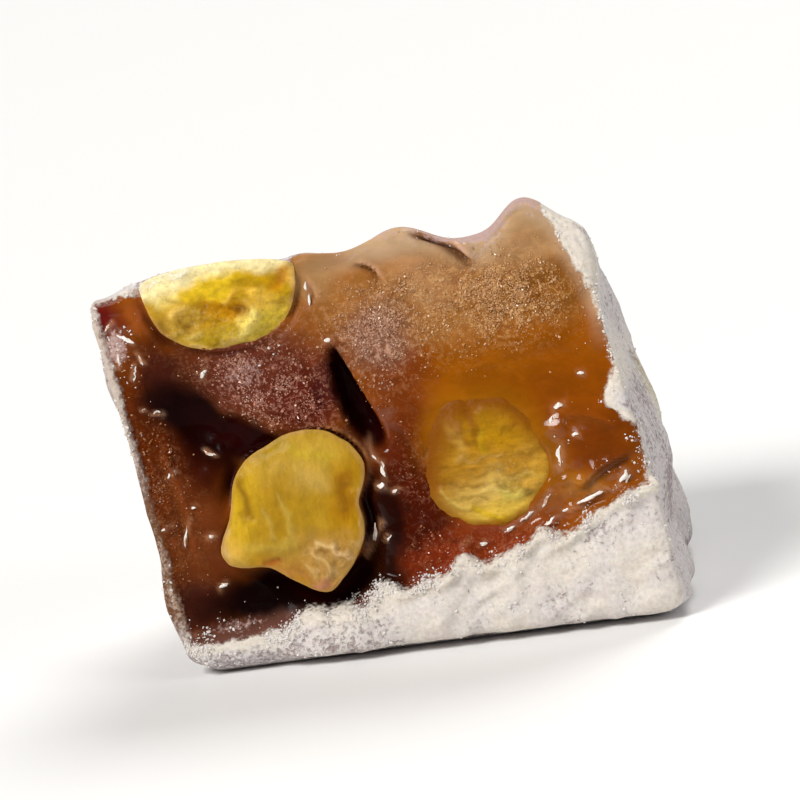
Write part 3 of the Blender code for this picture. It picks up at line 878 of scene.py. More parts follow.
# Place: x, z, half width, half height, colour
GRAIN_TINTS = {
    "left_column": (-15.5, 12.0, 3.0, 9.0, (0.290, 0.095, 0.032)),
    "shoulder": (-8.0, 20.0, 5.5, 4.5, (0.530, 0.270, 0.215)),
    "shoulder_foot": (-4.5, 17.0, 2.6, 3.0, (0.500, 0.210, 0.150)),
    "beside_slit": (0.4, 21.6, 2.6, 3.2, (0.580, 0.340, 0.240)),
    "between_kernels": (1.6, 10.0, 2.4, 5.0, (0.360, 0.130, 0.080)),
    "under_right_kernel": (6.0, 6.8, 5.0, 1.8, (0.430, 0.110, 0.042)),
}
grain_tint = np.tile(GRAIN_TAN, (len(block), 1))
for row in GRAIN_TINTS.values():
    grain_tint = toward(grain_tint, row[-1], ellipse_share(x, z, row))
keep_color(jelly, "grain_tint", grain_tint)
print("grains: mean colour on the cut", np.round(grain_tint[on_cut].mean(axis=0), 3))

# %% Thickness of the powder, and all masks kept
# Along the left edge the powder is thin and brownish: widths inside and outside the rim, how far it
# reaches behind the edge, where it begins over the foot, and where it grows weaker above the middle
LEFT_BAND_INSIDE = (1.6, 0.4)
LEFT_BAND_OUTSIDE = (-2.4, -1.2)
LEFT_BAND_BEHIND = (2.2, 0.3)
LEFT_BAND_FOOT = (2.0, 5.0)
LEFT_BAND_TOP = (17.0, 11.0)
# Beside the upper right of the cut the powder is thick
RIGHT_BAND_FOOT = (15.0, 17.0)

left_rim = smoothstep(*LEFT_BAND_INSIDE, from_left) * smoothstep(*LEFT_BAND_OUTSIDE, from_left)
left_rim *= smoothstep(*LEFT_BAND_BEHIND, past_edge)
left_rim *= smoothstep(*LEFT_BAND_FOOT, z) * (0.50 + 0.50 * smoothstep(*LEFT_BAND_TOP, z))
right_band = 0.8 * soft(from_right + 0.8, 1.0) * smoothstep(*RIGHT_BAND_FOOT, z)
patchy = 0.35 + 0.65 * smoothstep(-0.45, 0.35, layered_noise(block, 2.4, 77))
torn_powder = soft(rim + 0.35, 0.45) * (cut_share + 0.3) * (1 - 0.9 * left_rim)

masks = {
    "rim": np.clip(rim, -6, 6),
    "sugar": sugar * (1 - in_gap),
    "bloom": bloom * (1 - in_gap),
    "gap": in_gap,
    "wet": wet * bare,
    "pucker": puckers,
    "nut_below": nut_below,
    "nut_edge": nut_edge,
    "left_rim": left_rim,
    "thick_powder": np.clip(0.85 * flap * cut_share * patchy + torn_powder + right_band, 0, 1),
}
for name, values in masks.items():
    keep_value(jelly, name, values)
print("masks kept:", ", ".join(masks))

# %% [markdown]
# ## Kernels
#
# Each kernel is the solid's own form, with a finer grid and with what the knife left on its cut. The grid
# runs round the outline and from the middle of the cut over the rim to the far end, and two fans of
# triangles close it at its poles.

# %% Kernel grid
KERNEL_SIDES = 180
KERNEL_RINGS = 90


def ball_grid(sides, rings):
    """(points of a unit ball with poles along Y, faces): rings of equal angle between two end points."""
    polar = np.linspace(0, math.pi, rings + 2)[1:-1, None]
    turn = np.linspace(0, math.tau, sides, endpoint=False)[None, :]
    across, up = np.sin(polar) * np.cos(turn), np.sin(polar) * np.sin(turn)
    ring = np.stack([across, -np.cos(polar) + 0 * turn, up], -1)
    points = np.vstack([ring.reshape(-1, 3), (0, -1, 0), (0, 1, 0)])
    row, column = np.meshgrid(np.arange(rings - 1), np.arange(sides), indexing="ij")
    here, beside = row * sides + column, row * sides + (column + 1) % sides
    quads = np.stack([here, here + sides, beside + sides, beside], -1).reshape(-1, 4)
    column = np.arange(sides)
    near, far = len(points) - 2, len(points) - 1
    last = (rings - 1) * sides
    fans = [(near, int(c), int((c + 1) % sides)) for c in column]
    fans += [(far, int(last + (c + 1) % sides), int(last + c)) for c in column]
    return points, quads.tolist() + fans


ball, kernel_faces = ball_grid(KERNEL_SIDES, KERNEL_RINGS)
print(f"kernel grid: {len(ball)} corners, {len(kernel_faces)} faces")

# %% [markdown]
# ## What the knife left on the kernels
#
# A kernel breaks as much as it is cut: there is a crease between its two seed leaves, with lumps, cracks
# and ridges beside it. Broad swells and dents are turned ellipses. Narrow ones are strokes, which carry
# both a height and a colour: a ridge is painted pale as a highlight and a crack painted dark as shade, in
# the very same place.

# %% Swells and dents
# From the kernel's middle: x, z, half width, half height, turn, height
KERNEL_MARKS = {
    "pistachio_top": (
        (-0.4, -0.7, 3.6, 0.9, 14, 0.26),
        (0.4, -2.5, 1.7, 0.55, -14, -0.34),
        (1.7, -3.3, 1.0, 0.8, 60, 0.36),
        (3.0, -2.4, 1.4, 0.8, 30, 0.22),
        (-1.0, -3.3, 1.4, 0.7, -8, -0.24),
        (-2.3, -3.8, 0.9, 0.5, -20, 0.24),
        (-3.2, -1.9, 0.9, 0.5, 14, 0.24),
        (4.2, -0.7, 0.7, 0.8, 30, -0.28),
        (-0.6, -4.4, 1.6, 0.4, 12, 0.20),
    ),
    "pistachio_centre": (
        (0.3, 2.6, 3.0, 1.4, 10, 0.16),
        (-1.6, -0.5, 0.8, 3.2, -25, 0.10),
        (1.6, -0.6, 0.7, 3.0, -12, -0.12),
        (2.6, -3.6, 1.5, 1.0, 20, 0.12),
        (-3.4, 1.6, 0.8, 1.6, 30, -0.14),
        (-3.8, -2.0, 1.2, 0.8, 30, 0.10),
        (0.6, -2.6, 1.6, 0.35, 20, -0.14),
        (4.3, 1.2, 0.5, 0.35, 10, -0.25),
    ),
    "pistachio_right": (
        (-0.2, 2.8, 2.2, 1.0, 0, 0.12),
        (0.2, -2.0, 3.0, 0.8, 5, 0.18),
        (0.6, 0.3, 3.2, 0.35, 4, -0.10),
        (-0.8, -0.9, 3.0, 0.3, -3, -0.10),
        (2.9, 1.4, 0.7, 1.8, 15, 0.14),
        (-1.7, 2.4, 0.4, 1.4, -25, -0.14),
        (0.9, 1.9, 0.45, 1.1, 20, -0.12),
        (-0.3, -3.1, 2.6, 0.3, 4, -0.12),
    ),
}
print("marks:", {name: len(rows) for name, rows in KERNEL_MARKS.items()})

# %% Cracks and ridges
# From the kernel's middle: both ends x, z, half width, rise, strength, colour; the colour is a painted
# highlight on a ridge and painted shade in a crack
KERNEL_STROKES = {
    "pistachio_top": (
        (-3.9, -1.2, -2.5, -1.4, 0.16, -0.10, 0.60, (0.340, 0.185, 0.005)),
        (-1.2, -2.0, 0.4, -2.5, 0.45, -0.08, 0.75, (0.490, 0.215, 0.001)),
        (0.6, -2.6, 1.4, -2.7, 0.26, -0.28, 0.80, (0.300, 0.135, 0.004)),
        (0.1, -1.8, 1.3, -1.2, 0.24, 0.20, 0.90, (0.830, 0.500, 0.050)),
        (2.2, -1.6, 2.7, -1.4, 0.22, 0.20, 0.85, (0.780, 0.490, 0.060)),
        (3.2, -2.0, 4.1, -1.7, 0.18, 0.16, 0.80, (0.680, 0.420, 0.030)),
        (4.5, -2.3, 4.9, -2.1, 0.22, 0.16, 0.75, (0.760, 0.500, 0.110)),
        (1.9, -2.9, 1.2, -4.0, 0.42, 0.36, 0.95, (0.920, 0.740, 0.190)),
        (0.7, -3.2, 1.5, -3.2, 0.28, 0.24, 0.80, (0.860, 0.660, 0.140)),
        (3.9, -0.9, 4.4, -0.3, 0.42, -0.14, 0.85, (0.500, 0.195, 0.002)),
        (4.4, -0.2, 4.9, -0.2, 0.35, 0.05, 0.60, (0.620, 0.300, 0.040)),
        (5.0, -0.4, 5.4, -1.0, 0.28, 0.14, 0.80, (0.760, 0.480, 0.130)),
        (-3.5, -2.0, -2.5, -1.8, 0.22, 0.24, 0.90, (0.880, 0.570, 0.120)),
        (-2.0, -2.1, -1.8, -2.6, 0.18, 0.15, 0.60, (0.700, 0.430, 0.060)),
        (-2.6, -3.6, -2.1, -3.7, 0.22, 0.20, 0.75, (0.600, 0.430, 0.100)),
        (-3.0, -2.8, -2.6, -3.1, 0.16, -0.18, 0.70, (0.320, 0.160, 0.008)),
        (-4.6, -2.6, -4.0, -3.5, 0.32, -0.16, 0.75, (0.260, 0.130, 0.008)),
        (-1.4, -3.0, -0.6, -3.3, 0.30, -0.12, 0.55, (0.400, 0.210, 0.004)),
        (-0.2, -3.7, 0.3, -3.5, 0.16, -0.16, 0.55, (0.330, 0.200, 0.008)),
        (-1.2, -4.3, -0.8, -4.5, 0.20, -0.12, 0.70, (0.270, 0.160, 0.003)),
        (-2.6, -4.3, -1.4, -4.7, 0.20, 0.14, 0.85, (0.680, 0.470, 0.130)),
        (-1.0, -4.9, 0.7, -4.4, 0.22, 0.16, 0.85, (0.700, 0.480, 0.130)),
        (1.3, -4.3, 2.9, -3.9, 0.20, 0.08, 0.60, (0.560, 0.400, 0.060)),
    ),
    "pistachio_centre": (
        (-3.4, 2.8, -3.0, 0.5, 0.42, -0.10, 0.80, (0.240, 0.112, 0.002)),
        (4.2, 2.0, 3.6, -0.3, 0.60, -0.08, 0.80, (0.270, 0.104, 0.002)),
        (5.0, 1.1, 4.8, -1.6, 0.16, 0.12, 0.80, (0.546, 0.335, 0.113)),
        (4.8, -1.6, 4.2, -2.8, 0.15, 0.12, 0.80, (0.560, 0.350, 0.130)),
        (-4.7, -0.6, -5.0, -2.5, 0.30, 0.14, 0.85, (0.640, 0.420, 0.170)),
        (-5.0, -2.6, -3.6, -3.2, 0.25, 0.12, 0.70, (0.560, 0.340, 0.060)),
        (-3.3, -2.1, 0.0, -2.0, 0.40, 0.06, 0.60, (0.510, 0.345, 0.050)),
        (-0.6, 1.2, 0.1, -1.4, 0.22, 0.07, 0.55, (0.510, 0.350, 0.060)),
        (-2.0, 0.4, -1.5, -1.4, 0.16, 0.05, 0.50, (0.540, 0.380, 0.075)),
        (0.9, 4.4, 3.0, 3.6, 0.45, 0.06, 0.55, (0.500, 0.350, 0.014)),
        (-1.6, 4.3, 0.2, 4.9, 0.35, -0.05, 0.55, (0.340, 0.215, 0.002)),
        (1.0, 2.6, 2.7, 1.9, 0.60, 0.05, 0.50, (0.500, 0.320, 0.080)),
        (-2.2, -3.4, -1.2, -3.0, 0.24, -0.22, 0.85, (0.377, 0.113, 0.012)),
        (-1.2, -3.7, 0.8, -4.7, 0.22, -0.10, 0.65, (0.420, 0.190, 0.040)),
        (1.5, -2.5, 2.7, -2.6, 0.17, 0.20, 0.85, (0.640, 0.420, 0.160)),
        (2.7, -2.6, 3.6, -3.6, 0.18, 0.22, 0.90, (0.680, 0.450, 0.200)),
        (1.3, -3.1, 2.3, -4.0, 0.17, 0.18, 0.80, (0.600, 0.390, 0.140)),
        (1.7, -2.9, 2.2, -3.1, 0.16, -0.18, 0.80, (0.270, 0.130, 0.022)),
        (2.9, -3.7, 2.5, -4.5, 0.16, -0.12, 0.60, (0.300, 0.150, 0.028)),
        (0.5, -3.9, 1.2, -4.4, 0.18, 0.14, 0.70, (0.560, 0.360, 0.120)),
        (1.9, -4.6, 2.7, -4.1, 0.16, 0.14, 0.65, (0.580, 0.380, 0.150)),
        (0.9, -5.3, 2.0, -5.0, 0.35, 0.10, 0.85, (0.500, 0.190, 0.110)),
    ),
    "pistachio_right": (
        (-1.9, -2.9, 0.5, -4.0, 0.18, 0.14, 0.90, (0.560, 0.360, 0.010)),
        (-3.6, -1.5, -1.9, -3.0, 0.15, 0.12, 0.85, (0.560, 0.380, 0.080)),
        (-3.9, -0.8, -0.6, -1.3, 0.17, -0.07, 0.55, (0.200, 0.088, 0.004)),
        (-3.6, 0.2, -1.4, 0.0, 0.17, -0.06, 0.45, (0.220, 0.100, 0.003)),
        (-1.2, -0.6, 1.6, -0.7, 0.15, -0.06, 0.45, (0.230, 0.115, 0.004)),
        (-3.1, -2.0, -0.8, -2.3, 0.14, -0.05, 0.45, (0.250, 0.145, 0.010)),
        (-0.8, -1.6, 1.0, -1.9, 0.16, 0.12, 0.75, (0.580, 0.420, 0.120)),
        (-2.0, 0.7, 0.9, 0.4, 0.20, 0.10, 0.60, (0.480, 0.280, 0.060)),
        (0.7, -2.2, 1.6, -2.4, 0.45, 0.14, 0.90, (0.600, 0.470, 0.090)),
        (0.4, -1.3, 0.6, -1.5, 0.24, -0.08, 0.60, (0.130, 0.082, 0.002)),
        (2.2, -2.0, 2.4, -2.2, 0.24, -0.08, 0.60, (0.140, 0.092, 0.002)),
        (1.6, -0.9, 3.4, -1.2, 0.14, 0.12, 0.70, (0.520, 0.340, 0.050)),
        (-2.5, 4.2, -2.1, 2.8, 0.16, 0.12, 0.85, (0.460, 0.225, 0.050)),
        (-1.3, 4.0, -0.9, 2.0, 0.38, -0.10, 0.70, (0.180, 0.060, 0.001)),
        (-2.9, 2.6, -1.6, 1.8, 0.26, -0.06, 0.50, (0.200, 0.074, 0.001)),
        (1.2, 3.6, 2.4, 3.9, 0.30, 0.16, 0.85, (0.560, 0.300, 0.008)),
        (-0.2, 3.2, 0.8, 3.6, 0.24, 0.12, 0.70, (0.500, 0.280, 0.004)),
        (1.0, 2.2, 2.2, 2.6, 0.20, -0.06, 0.50, (0.220, 0.100, 0.002)),
        (2.2, 0.3, 4.1, 0.8, 0.34, -0.08, 0.60, (0.200, 0.080, 0.002)),
        (-0.6, 2.4, -0.2, 1.0, 0.30, 0.08, 0.60, (0.440, 0.260, 0.004)),
    ),
}
print("strokes:", {name: len(rows) for name, rows in KERNEL_STROKES.items()})

# %% Shape of a kernel
# Height of the flesh's grain
FLESH_GRAIN = {"pistachio_top": 0.27, "pistachio_centre": 0.11, "pistachio_right": 0.11}
# How suddenly the flat cut rolls over at its rim, and the share of this flat form in the dome
FLAT_POWER = 5
FLAT_SHARE = 0.6


def kernel_points(ball, name):
    """(local points, share of the way to the outline, facing): the outline's reach times the ball's
    spread; in front the cut is nearly flat and rolls over at its rim, and behind it is a half ball that
    dips by the solid's own amount."""
    spec = KERNELS[name]
    spread = np.hypot(ball[:, 0], ball[:, 2])
    angle = np.arctan2(ball[:, 2], ball[:, 0])
    reach = kernel_outline(angle, spec["half"], spec["lobes"])
    x, z = spread * reach * np.cos(angle), spread * reach * np.sin(angle)
    facing = ball[:, 1] < 0
    round_dome, flat_dome = np.sqrt(np.clip(1 - spread**2, 0, 1)), 1 - spread**FLAT_POWER
    dome = (1 - FLAT_SHARE) * round_dome + FLAT_SHARE * flat_dome
    y = np.where(facing, -spec["crown"] * dome, spec["depth"] * ball[:, 1])
    z = z - spec["dip"] * np.where(facing, 0, ball[:, 1]) ** 2
    return np.column_stack([x, y, z]), spread, facing


def mark_height(x, z, marks):
    """Sum of soft turned ellipses, each raised or sunk by its height."""
    return sum(row[5] * soft(np.hypot(*turned_ellipse(x, z, row)), 1.0) for row in marks)


def strayed(x, z, seed):
    """Places shifted by two sizes of noise, so that no stroke is straight."""
    flat = np.column_stack([x, z, 0 * x])
    shift = [0.34 * noise(flat, 1.3, seed + k) + 0.16 * noise(flat, 0.45, seed + 3 + k) for k in range(2)]
    return x + shift[0], z + shift[1]


def place_kernel(local, name):
    """Local points turned back by the lean and moved to the kernel's place on the cut face."""
    spec = KERNELS[name]
    px, pz = spec["place"]
    c, s = math.cos(LEAN), math.sin(LEAN)
    y = -DEPTH / 2 + math.tan(LEAN) * pz - spec["proud"] * c
    up = pz + spec["proud"] * s
    turned_y, turned_z = local[:, 1] * c + local[:, 2] * s, -local[:, 1] * s + local[:, 2] * c
    moved = np.column_stack([local[:, 0], turned_y, turned_z])
    return moved + (px + CENTRING[0], y + CENTRING[1], up)


print("kernels stand proud of the cut by", {name: spec["proud"] for name, spec in KERNELS.items()})

# %% Build the kernels
kernels = {}
for number, name in enumerate(KERNELS):
    local, spread, facing = kernel_points(ball, name)
    cut = np.where(facing, smoothstep(1.0, 0.8, spread), 0)
    grain = FLESH_GRAIN[name] * layered_noise(local, 0.9, 81 + 10 * number)
    sx, sz = strayed(local[:, 0], local[:, 2], 131 + 10 * number)
    strokes = sum(row[5] * stroke_share(sx, sz, row) for row in KERNEL_STROKES[name])
    height = cut * (mark_height(local[:, 0], local[:, 2], KERNEL_MARKS[name]) + strokes) + grain
    local[:, 1] -= height
    edge = 0.10 * layered_noise(local, 1.4, 85 + 10 * number)
    local[:, [0, 2]] *= 1 + (edge / 5)[:, None]
    piece = new_piece(name, place_kernel(local, name), kernel_faces, [name])
    keep_value(piece, "face_x", sx)
    keep_value(piece, "face_z", sz)
    keep_value(piece, "spread", np.where(facing, spread, 1.0 + ball[:, 1]))
    kernels[name] = piece
    print(f"{name}: {len(kernel_faces)} faces, {np.round(np.ptp(local, axis=0), 1)} mm")

# %% [markdown]
# ## The colour of the kernels' flesh
#
# Pistachio flesh is green under the skin and yellow inside, and the syrup stains it ochre. The middle
# kernel is a smooth ochre with a grainy pale corner, the right one is seen through a film of jelly that
# grows thicker towards its upper left, and the top one is broken and bright, with powder on its upper
# edge. The places are turned ellipses again, in millimetres from each kernel's middle.

# %% Flesh colours
FLESH = {
    "pistachio_top": (0.560, 0.320, 0.010),
    "pistachio_centre": (0.415, 0.235, 0.010),
    "pistachio_right": (0.340, 0.150, 0.004),
}
# Patch: x, z, half width, half height, turn, softness, strength, colour
FLESH_PATCHES = {
    "pistachio_top": (
        (-0.6, -0.7, 3.2, 1.0, 12, 0.5, 0.9, (0.710, 0.470, 0.014)),
        (2.9, -0.7, 1.9, 0.8, 15, 0.6, 0.85, (0.480, 0.270, 0.003)),
        (-0.5, -2.3, 2.2, 0.8, -8, 0.6, 0.85, (0.520, 0.250, 0.001)),
        (1.0, -2.7, 1.0, 0.5, -10, 0.6, 0.8, (0.400, 0.180, 0.003)),
        (0.0, -4.3, 3.8, 0.9, 0, 0.5, 0.8, (0.370, 0.250, 0.008)),
        (2.9, -2.6, 1.5, 0.9, 30, 0.6, 0.85, (0.560, 0.345, 0.045)),
        (4.6, -1.4, 0.9, 1.2, 0, 0.6, 0.8, (0.480, 0.280, 0.004)),
        (-4.2, -0.7, 1.4, 0.8, 0, 0.5, 0.8, (0.780, 0.620, 0.200)),
        (-3.2, -2.7, 1.8, 1.2, 0, 0.6, 0.85, (0.420, 0.250, 0.032)),
        (-4.6, -3.0, 0.8, 1.3, 20, 0.6, 0.8, (0.270, 0.140, 0.006)),
        (2.6, -3.8, 2.2, 0.7, 30, 0.6, 0.8, (0.540, 0.400, 0.035)),
    ),
    "pistachio_centre": (
        (1.2, 3.4, 3.0, 1.5, 10, 0.7, 0.9, (0.530, 0.330, 0.042)),
        (-3.4, 0.6, 1.2, 3.0, -10, 0.7, 0.9, (0.570, 0.345, 0.010)),
        (-0.9, 0.8, 1.3, 2.8, -24, 0.8, 0.7, (0.360, 0.190, 0.006)),
        (4.0, 0.3, 1.2, 3.0, -8, 0.7, 0.9, (0.420, 0.205, 0.001)),
        (-4.8, -2.4, 1.3, 1.1, 30, 0.6, 0.9, (0.640, 0.380, 0.050)),
        (-0.6, -3.9, 2.2, 0.8, -12, 0.6, 0.9, (0.430, 0.190, 0.020)),
        (0.8, -2.6, 2.2, 1.2, 10, 0.6, 0.7, (0.390, 0.210, 0.034)),
        (2.6, -3.6, 1.9, 1.5, 15, 0.5, 0.9, (0.425, 0.235, 0.060)),
    ),
    "pistachio_right": (
        (0.6, 2.6, 2.6, 1.6, 0, 0.7, 0.9, (0.440, 0.215, 0.003)),
        (1.8, 3.4, 0.9, 0.6, 30, 0.7, 0.8, (0.600, 0.330, 0.010)),
        (-2.4, 2.4, 0.35, 1.5, 24, 0.7, 0.8, (0.560, 0.330, 0.060)),
        (0.0, 0.3, 3.4, 1.0, 0, 0.7, 0.8, (0.445, 0.218, 0.016)),
        (0.2, -0.8, 3.6, 0.35, 3, 0.7, 0.7, (0.300, 0.140, 0.010)),
        (0.0, -2.0, 3.2, 1.3, 4, 0.6, 0.9, (0.600, 0.390, 0.085)),
        (0.5, -3.3, 3.0, 0.7, 6, 0.6, 0.9, (0.680, 0.450, 0.060)),
        (1.4, -1.6, 0.6, 0.5, 0, 0.5, 0.8, (0.280, 0.160, 0.012)),
        (3.2, -1.0, 1.3, 2.0, 0, 0.7, 0.8, (0.540, 0.290, 0.030)),
    ),
}
# Where the flesh is broken to grains: x, z, half width, half height, turn, softness, strength
GRAINY_PLACES = {
    "pistachio_top": (-0.3, -3.2, 5.0, 1.8, 5, 0.6, 0.6),
    "pistachio_centre": (2.4, -3.5, 2.2, 1.5, 20, 0.5, 0.6),
    "pistachio_right": (1.6, -1.0, 1.6, 1.6, 0, 0.6, 0.45),
}
SKIN_BROWN = (0.150, 0.045, 0.008)
FILM_AMBER = (0.212, 0.060, 0.001)
RIM_TAN = (0.440, 0.240, 0.070)
CREAM = (0.880, 0.760, 0.400)
print("patches:", {name: len(rows) for name, rows in FLESH_PATCHES.items()})

# %% The film over the right kernel and the powder on the top one
# Least cover of the film, and the heights between which it grows, on lines that slant up to the right
FILM_LEAST = 0.14
FILM_RISE = (-2.6, 3.0)
FILM_SLANT = 0.50
# The powdered edge of the top kernel is a bow: its height in the middle, its slope and its bend
TOP_EDGE_BOW = (0.40, 0.11, -0.015)


def film_share(fx, fz, spread, wobble):
    """0 to 1 from the bare middle to the rim, which the film covers further in where it is thicker."""
    covered = FILM_LEAST + (1 - FILM_LEAST) * smoothstep(*FILM_RISE, fz - FILM_SLANT * fx)
    return smoothstep(0.92 - 0.50 * covered, 0.97, spread + 0.12 * wobble) * (0.45 + 0.53 * covered)


def above_top_edge(fx, fz, wobble):
    """Height in millimetres over the bow of the powdered edge, which wobbles a little."""
    level, slope, bend = TOP_EDGE_BOW
    return fz - (level + slope * fx + bend * fx**2 + 0.5 * wobble)


def read_value(piece, name):
    """The numbers that keep_value stored on a mesh."""
    values = np.zeros(len(piece.data.vertices), np.float32)
    piece.data.attributes[name].data.foreach_get("value", values)
    return values.astype(float)


print(f"film: {FILM_LEAST:.0%} of its full cover at the lower right")

# %% Paint the kernels
for number, (name, piece) in enumerate(kernels.items()):
    fx, fz, spread = (read_value(piece, key) for key in ("face_x", "face_z", "spread"))
    wobble = 0.35 * layered_noise(np.column_stack([fx, fz, fx * 0]), 1.5, 101 + 10 * number)
    flesh = np.tile(FLESH[name], (len(fx), 1))
    for row in FLESH_PATCHES[name]:
        flesh = toward(flesh, row[-1], in_patch(fx + wobble, fz - wobble, row))
    # The strokes' colours paint a highlight on each ridge and shade in each crack
    for row in KERNEL_STROKES[name]:
        flesh = toward(flesh, row[-1], row[6] * stroke_share(fx, fz, row))
    veil = dusting = 0 * fz
    if name == "pistachio_right":
        veil = film_share(fx, fz, spread, wobble)
        flesh = toward(flesh, FILM_AMBER, veil)
    else:
        fringe = 0.35 + 0.45 * smoothstep(-0.15, 0.15, wobble)
        flesh = toward(flesh, RIM_TAN, fringe * smoothstep(0.93, 0.985, spread))
    if name == "pistachio_top":
        over_edge = above_top_edge(fx, fz, wobble)
        flesh = toward(flesh, CREAM, 0.9 * smoothstep(-0.85, 0.10, over_edge))
        dusting = np.maximum(0.75 * smoothstep(-0.15, 0.55, over_edge), smoothstep(0.99, 1.06, spread))
    flesh = toward(flesh, SKIN_BROWN, smoothstep(1.0, 1.12, spread) * 0.8)
    keep_value(piece, "dusting", dusting)
    keep_value(piece, "behind", smoothstep(1.0, 1.1, spread))
    keep_value(piece, "veiled", veil)
    keep_value(piece, "grainy", in_patch(fx + wobble, fz - wobble, GRAINY_PLACES[name]))
    keep_color(piece, "flesh_tint", flesh)
    print(f"{name}: mean colour {np.round(flesh[spread < 0.9].mean(axis=0), 3)}")

# %% [markdown]
# ## Helpers for the materials
#
# A material is a small network of nodes. A few helpers keep each network readable: one gives a node its
# inputs, one adds a node, and the rest each add one kind of node or one short sum.

# %% Node helpers
def set_inputs(tree, node, values):
    """Gives each named input of a node another node's output or a value; a colour gets full alpha."""
    for key, value in values.items():
        socket = node.inputs[key]
        if isinstance(value, bpy.types.NodeSocket):
            tree.links.new(value, socket)
        else:
            socket.default_value = (*value, 1.0) if socket.type == "RGBA" else value


def add_node(tree, kind, inputs=None, **settings):
    """Adds a shader node, sets its properties and then its inputs."""
    made = tree.nodes.new("ShaderNode" + kind)
    for key, value in settings.items():
        setattr(made, key, value)
    set_inputs(tree, made, inputs or {})
    return made


def math_node(tree, operation, first, second=0.0, clamp=False):
    """One sum on numbers."""
    return add_node(tree, "Math", {0: first, 1: second}, operation=operation, use_clamp=clamp).outputs[0]


def times(tree, first, second, clamp=False):
    """The product of two numbers."""
    return math_node(tree, "MULTIPLY", first, second, clamp)


def weighted_sum(tree, *terms):
    """The sum of numbers, each times its weight; a weight of 1 needs no node."""
    total = None
    for value, weight in terms:
        part = value if weight == 1 else times(tree, value, weight)
        total = part if total is None else math_node(tree, "ADD", total, part)
    return total


def about_zero(tree, value):
    """A noise from 0 to 1 lowered by a half, so that it swings both ways."""
    return math_node(tree, "SUBTRACT", value, 0.5)


def step_node(tree, value, low, high, start=0.0, end=1.0):
    """An S-shaped step from start to end as the value goes from low to high."""
    inputs = {"Value": value, "From Min": low, "From Max": high, "To Min": start, "To Max": end}
    return add_node(tree, "MapRange", inputs, interpolation_type="SMOOTHSTEP").outputs[0]


def mix_colors(tree, share, first, second, blend="MIX"):
    """First colour at share 0, second at share 1."""
    inputs = {0: share, 6: first, 7: second}
    return add_node(tree, "Mix", inputs, data_type="RGBA", blend_type=blend).outputs[2]


def mix_numbers(tree, share, first, second):
    """First number at share 0, second at share 1."""
    return add_node(tree, "Mix", {0: share, 2: first, 3: second}).outputs[0]


def shade(tree, color, light):
    """A colour with all its three parts multiplied by a number."""
    grey = add_node(tree, "CombineColor", {part: light for part in range(3)}).outputs[0]
    return mix_colors(tree, 1.0, color, grey, "MULTIPLY")


def noise_node(tree, place, scale, detail=2.0, roughness=0.5, distortion=0.0):
    """Noise from 0 to 1, with scale in bumps a millimetre."""
    inputs = {"Vector": place, "Scale": scale, "Detail": detail}
    inputs.update({"Roughness": roughness, "Distortion": distortion})
    return add_node(tree, "TexNoise", inputs).outputs[0]


def place_in_mm(tree, stretch=(1.0, 1.0, 1.0)):
    """Object coordinates in millimetres, squeezed along the axes by stretch."""
    place = add_node(tree, "TexCoord").outputs["Object"]
    scale = tuple(s / MM for s in stretch)
    return add_node(tree, "VectorMath", {0: place, 1: scale}, operation="MULTIPLY").outputs[0]


def attribute_node(tree, name, output="Fac"):
    """A number or colour kept on the mesh."""
    return add_node(tree, "Attribute", attribute_name=name).outputs[output]


def new_group(name, inputs, outputs):
    """A shader node group with named sockets: (tree, its input node's outputs, its output node)."""
    tree = bpy.data.node_groups.new(name, "ShaderNodeTree")
    for label, kind in inputs.items():
        tree.interface.new_socket(name=label, in_out="INPUT", socket_type="NodeSocket" + kind)
    for label, kind in outputs.items():
        tree.interface.new_socket(name=label, in_out="OUTPUT", socket_type="NodeSocket" + kind)
    return tree, tree.nodes.new("NodeGroupInput").outputs, tree.nodes.new("NodeGroupOutput")


def use_group(tree, group, inputs):
    """Places a group in a material and joins its inputs."""
    return add_node(tree, "Group", inputs, node_tree=group).outputs


print("node helpers ready")

# %% [markdown]
# ## Powder: an effect that every finish shares
#
# Starch and powdered sugar lie on the sweet as a thin mottled coat. Where it is thin, what lies below
# shows through in worm-like specks of half a millimetre. The group adds noises of three sizes to the
# wanted cover, and an S-shaped step turns the sum into a crisp, ragged share of powder.

# %% Powder group
powder, given, result = new_group(
    "starch_powder",
    {"Color": "Color", "Powder": "Color", "Cover": "Float", "Mottling": "Float", "Place": "Vector"},
    {"Color": "Color", "Share": "Float", "Height": "Float"},
)
patches = noise_node(powder, given["Place"], 0.28, 2.0, 0.5)
mottle = noise_node(powder, given["Place"], 1.5, 3.0, 0.6, 0.6)
specks = noise_node(powder, given["Place"], 3.4, 2.5, 0.6, 0.3)
uneven = weighted_sum(powder, (about_zero(powder, patches), 0.9), (about_zero(powder, mottle), 1.5))
uneven = times(powder, uneven, given["Mottling"])
uneven = weighted_sum(powder, (uneven, 1), (about_zero(powder, specks), 2.4))
amount = weighted_sum(powder, (given["Cover"], 1), (uneven, 1))
share = step_node(powder, amount, 0.05, 0.95)
light = step_node(powder, specks, 0.25, 0.75, 0.84, 1.05)
tone = add_node(powder, "VectorMath", {0: given["Powder"], "Scale": light}, operation="SCALE").outputs[0]
set_inputs(powder, result, {
    "Color": mix_colors(powder, share, given["Color"], tone),
    "Share": share,
    "Height": weighted_sum(powder, (share, 1), (specks, 0.5)),
})
print("group:", powder.name)

# %% [markdown]
# ## Sugar grain: the sparkle on wet jelly
#
# Tiny crystals sit in the surface of the jelly where sugar came out of it. Each cell of a Voronoi pattern
# is one crystal: some cells take the crystals' colour, most stay clear, and all stand up a little. Thin
# curled crests run between them, where a noise passes its middle value, and patches of the jelly among
# the crystals are darkened, because a rough wet surface swallows light.

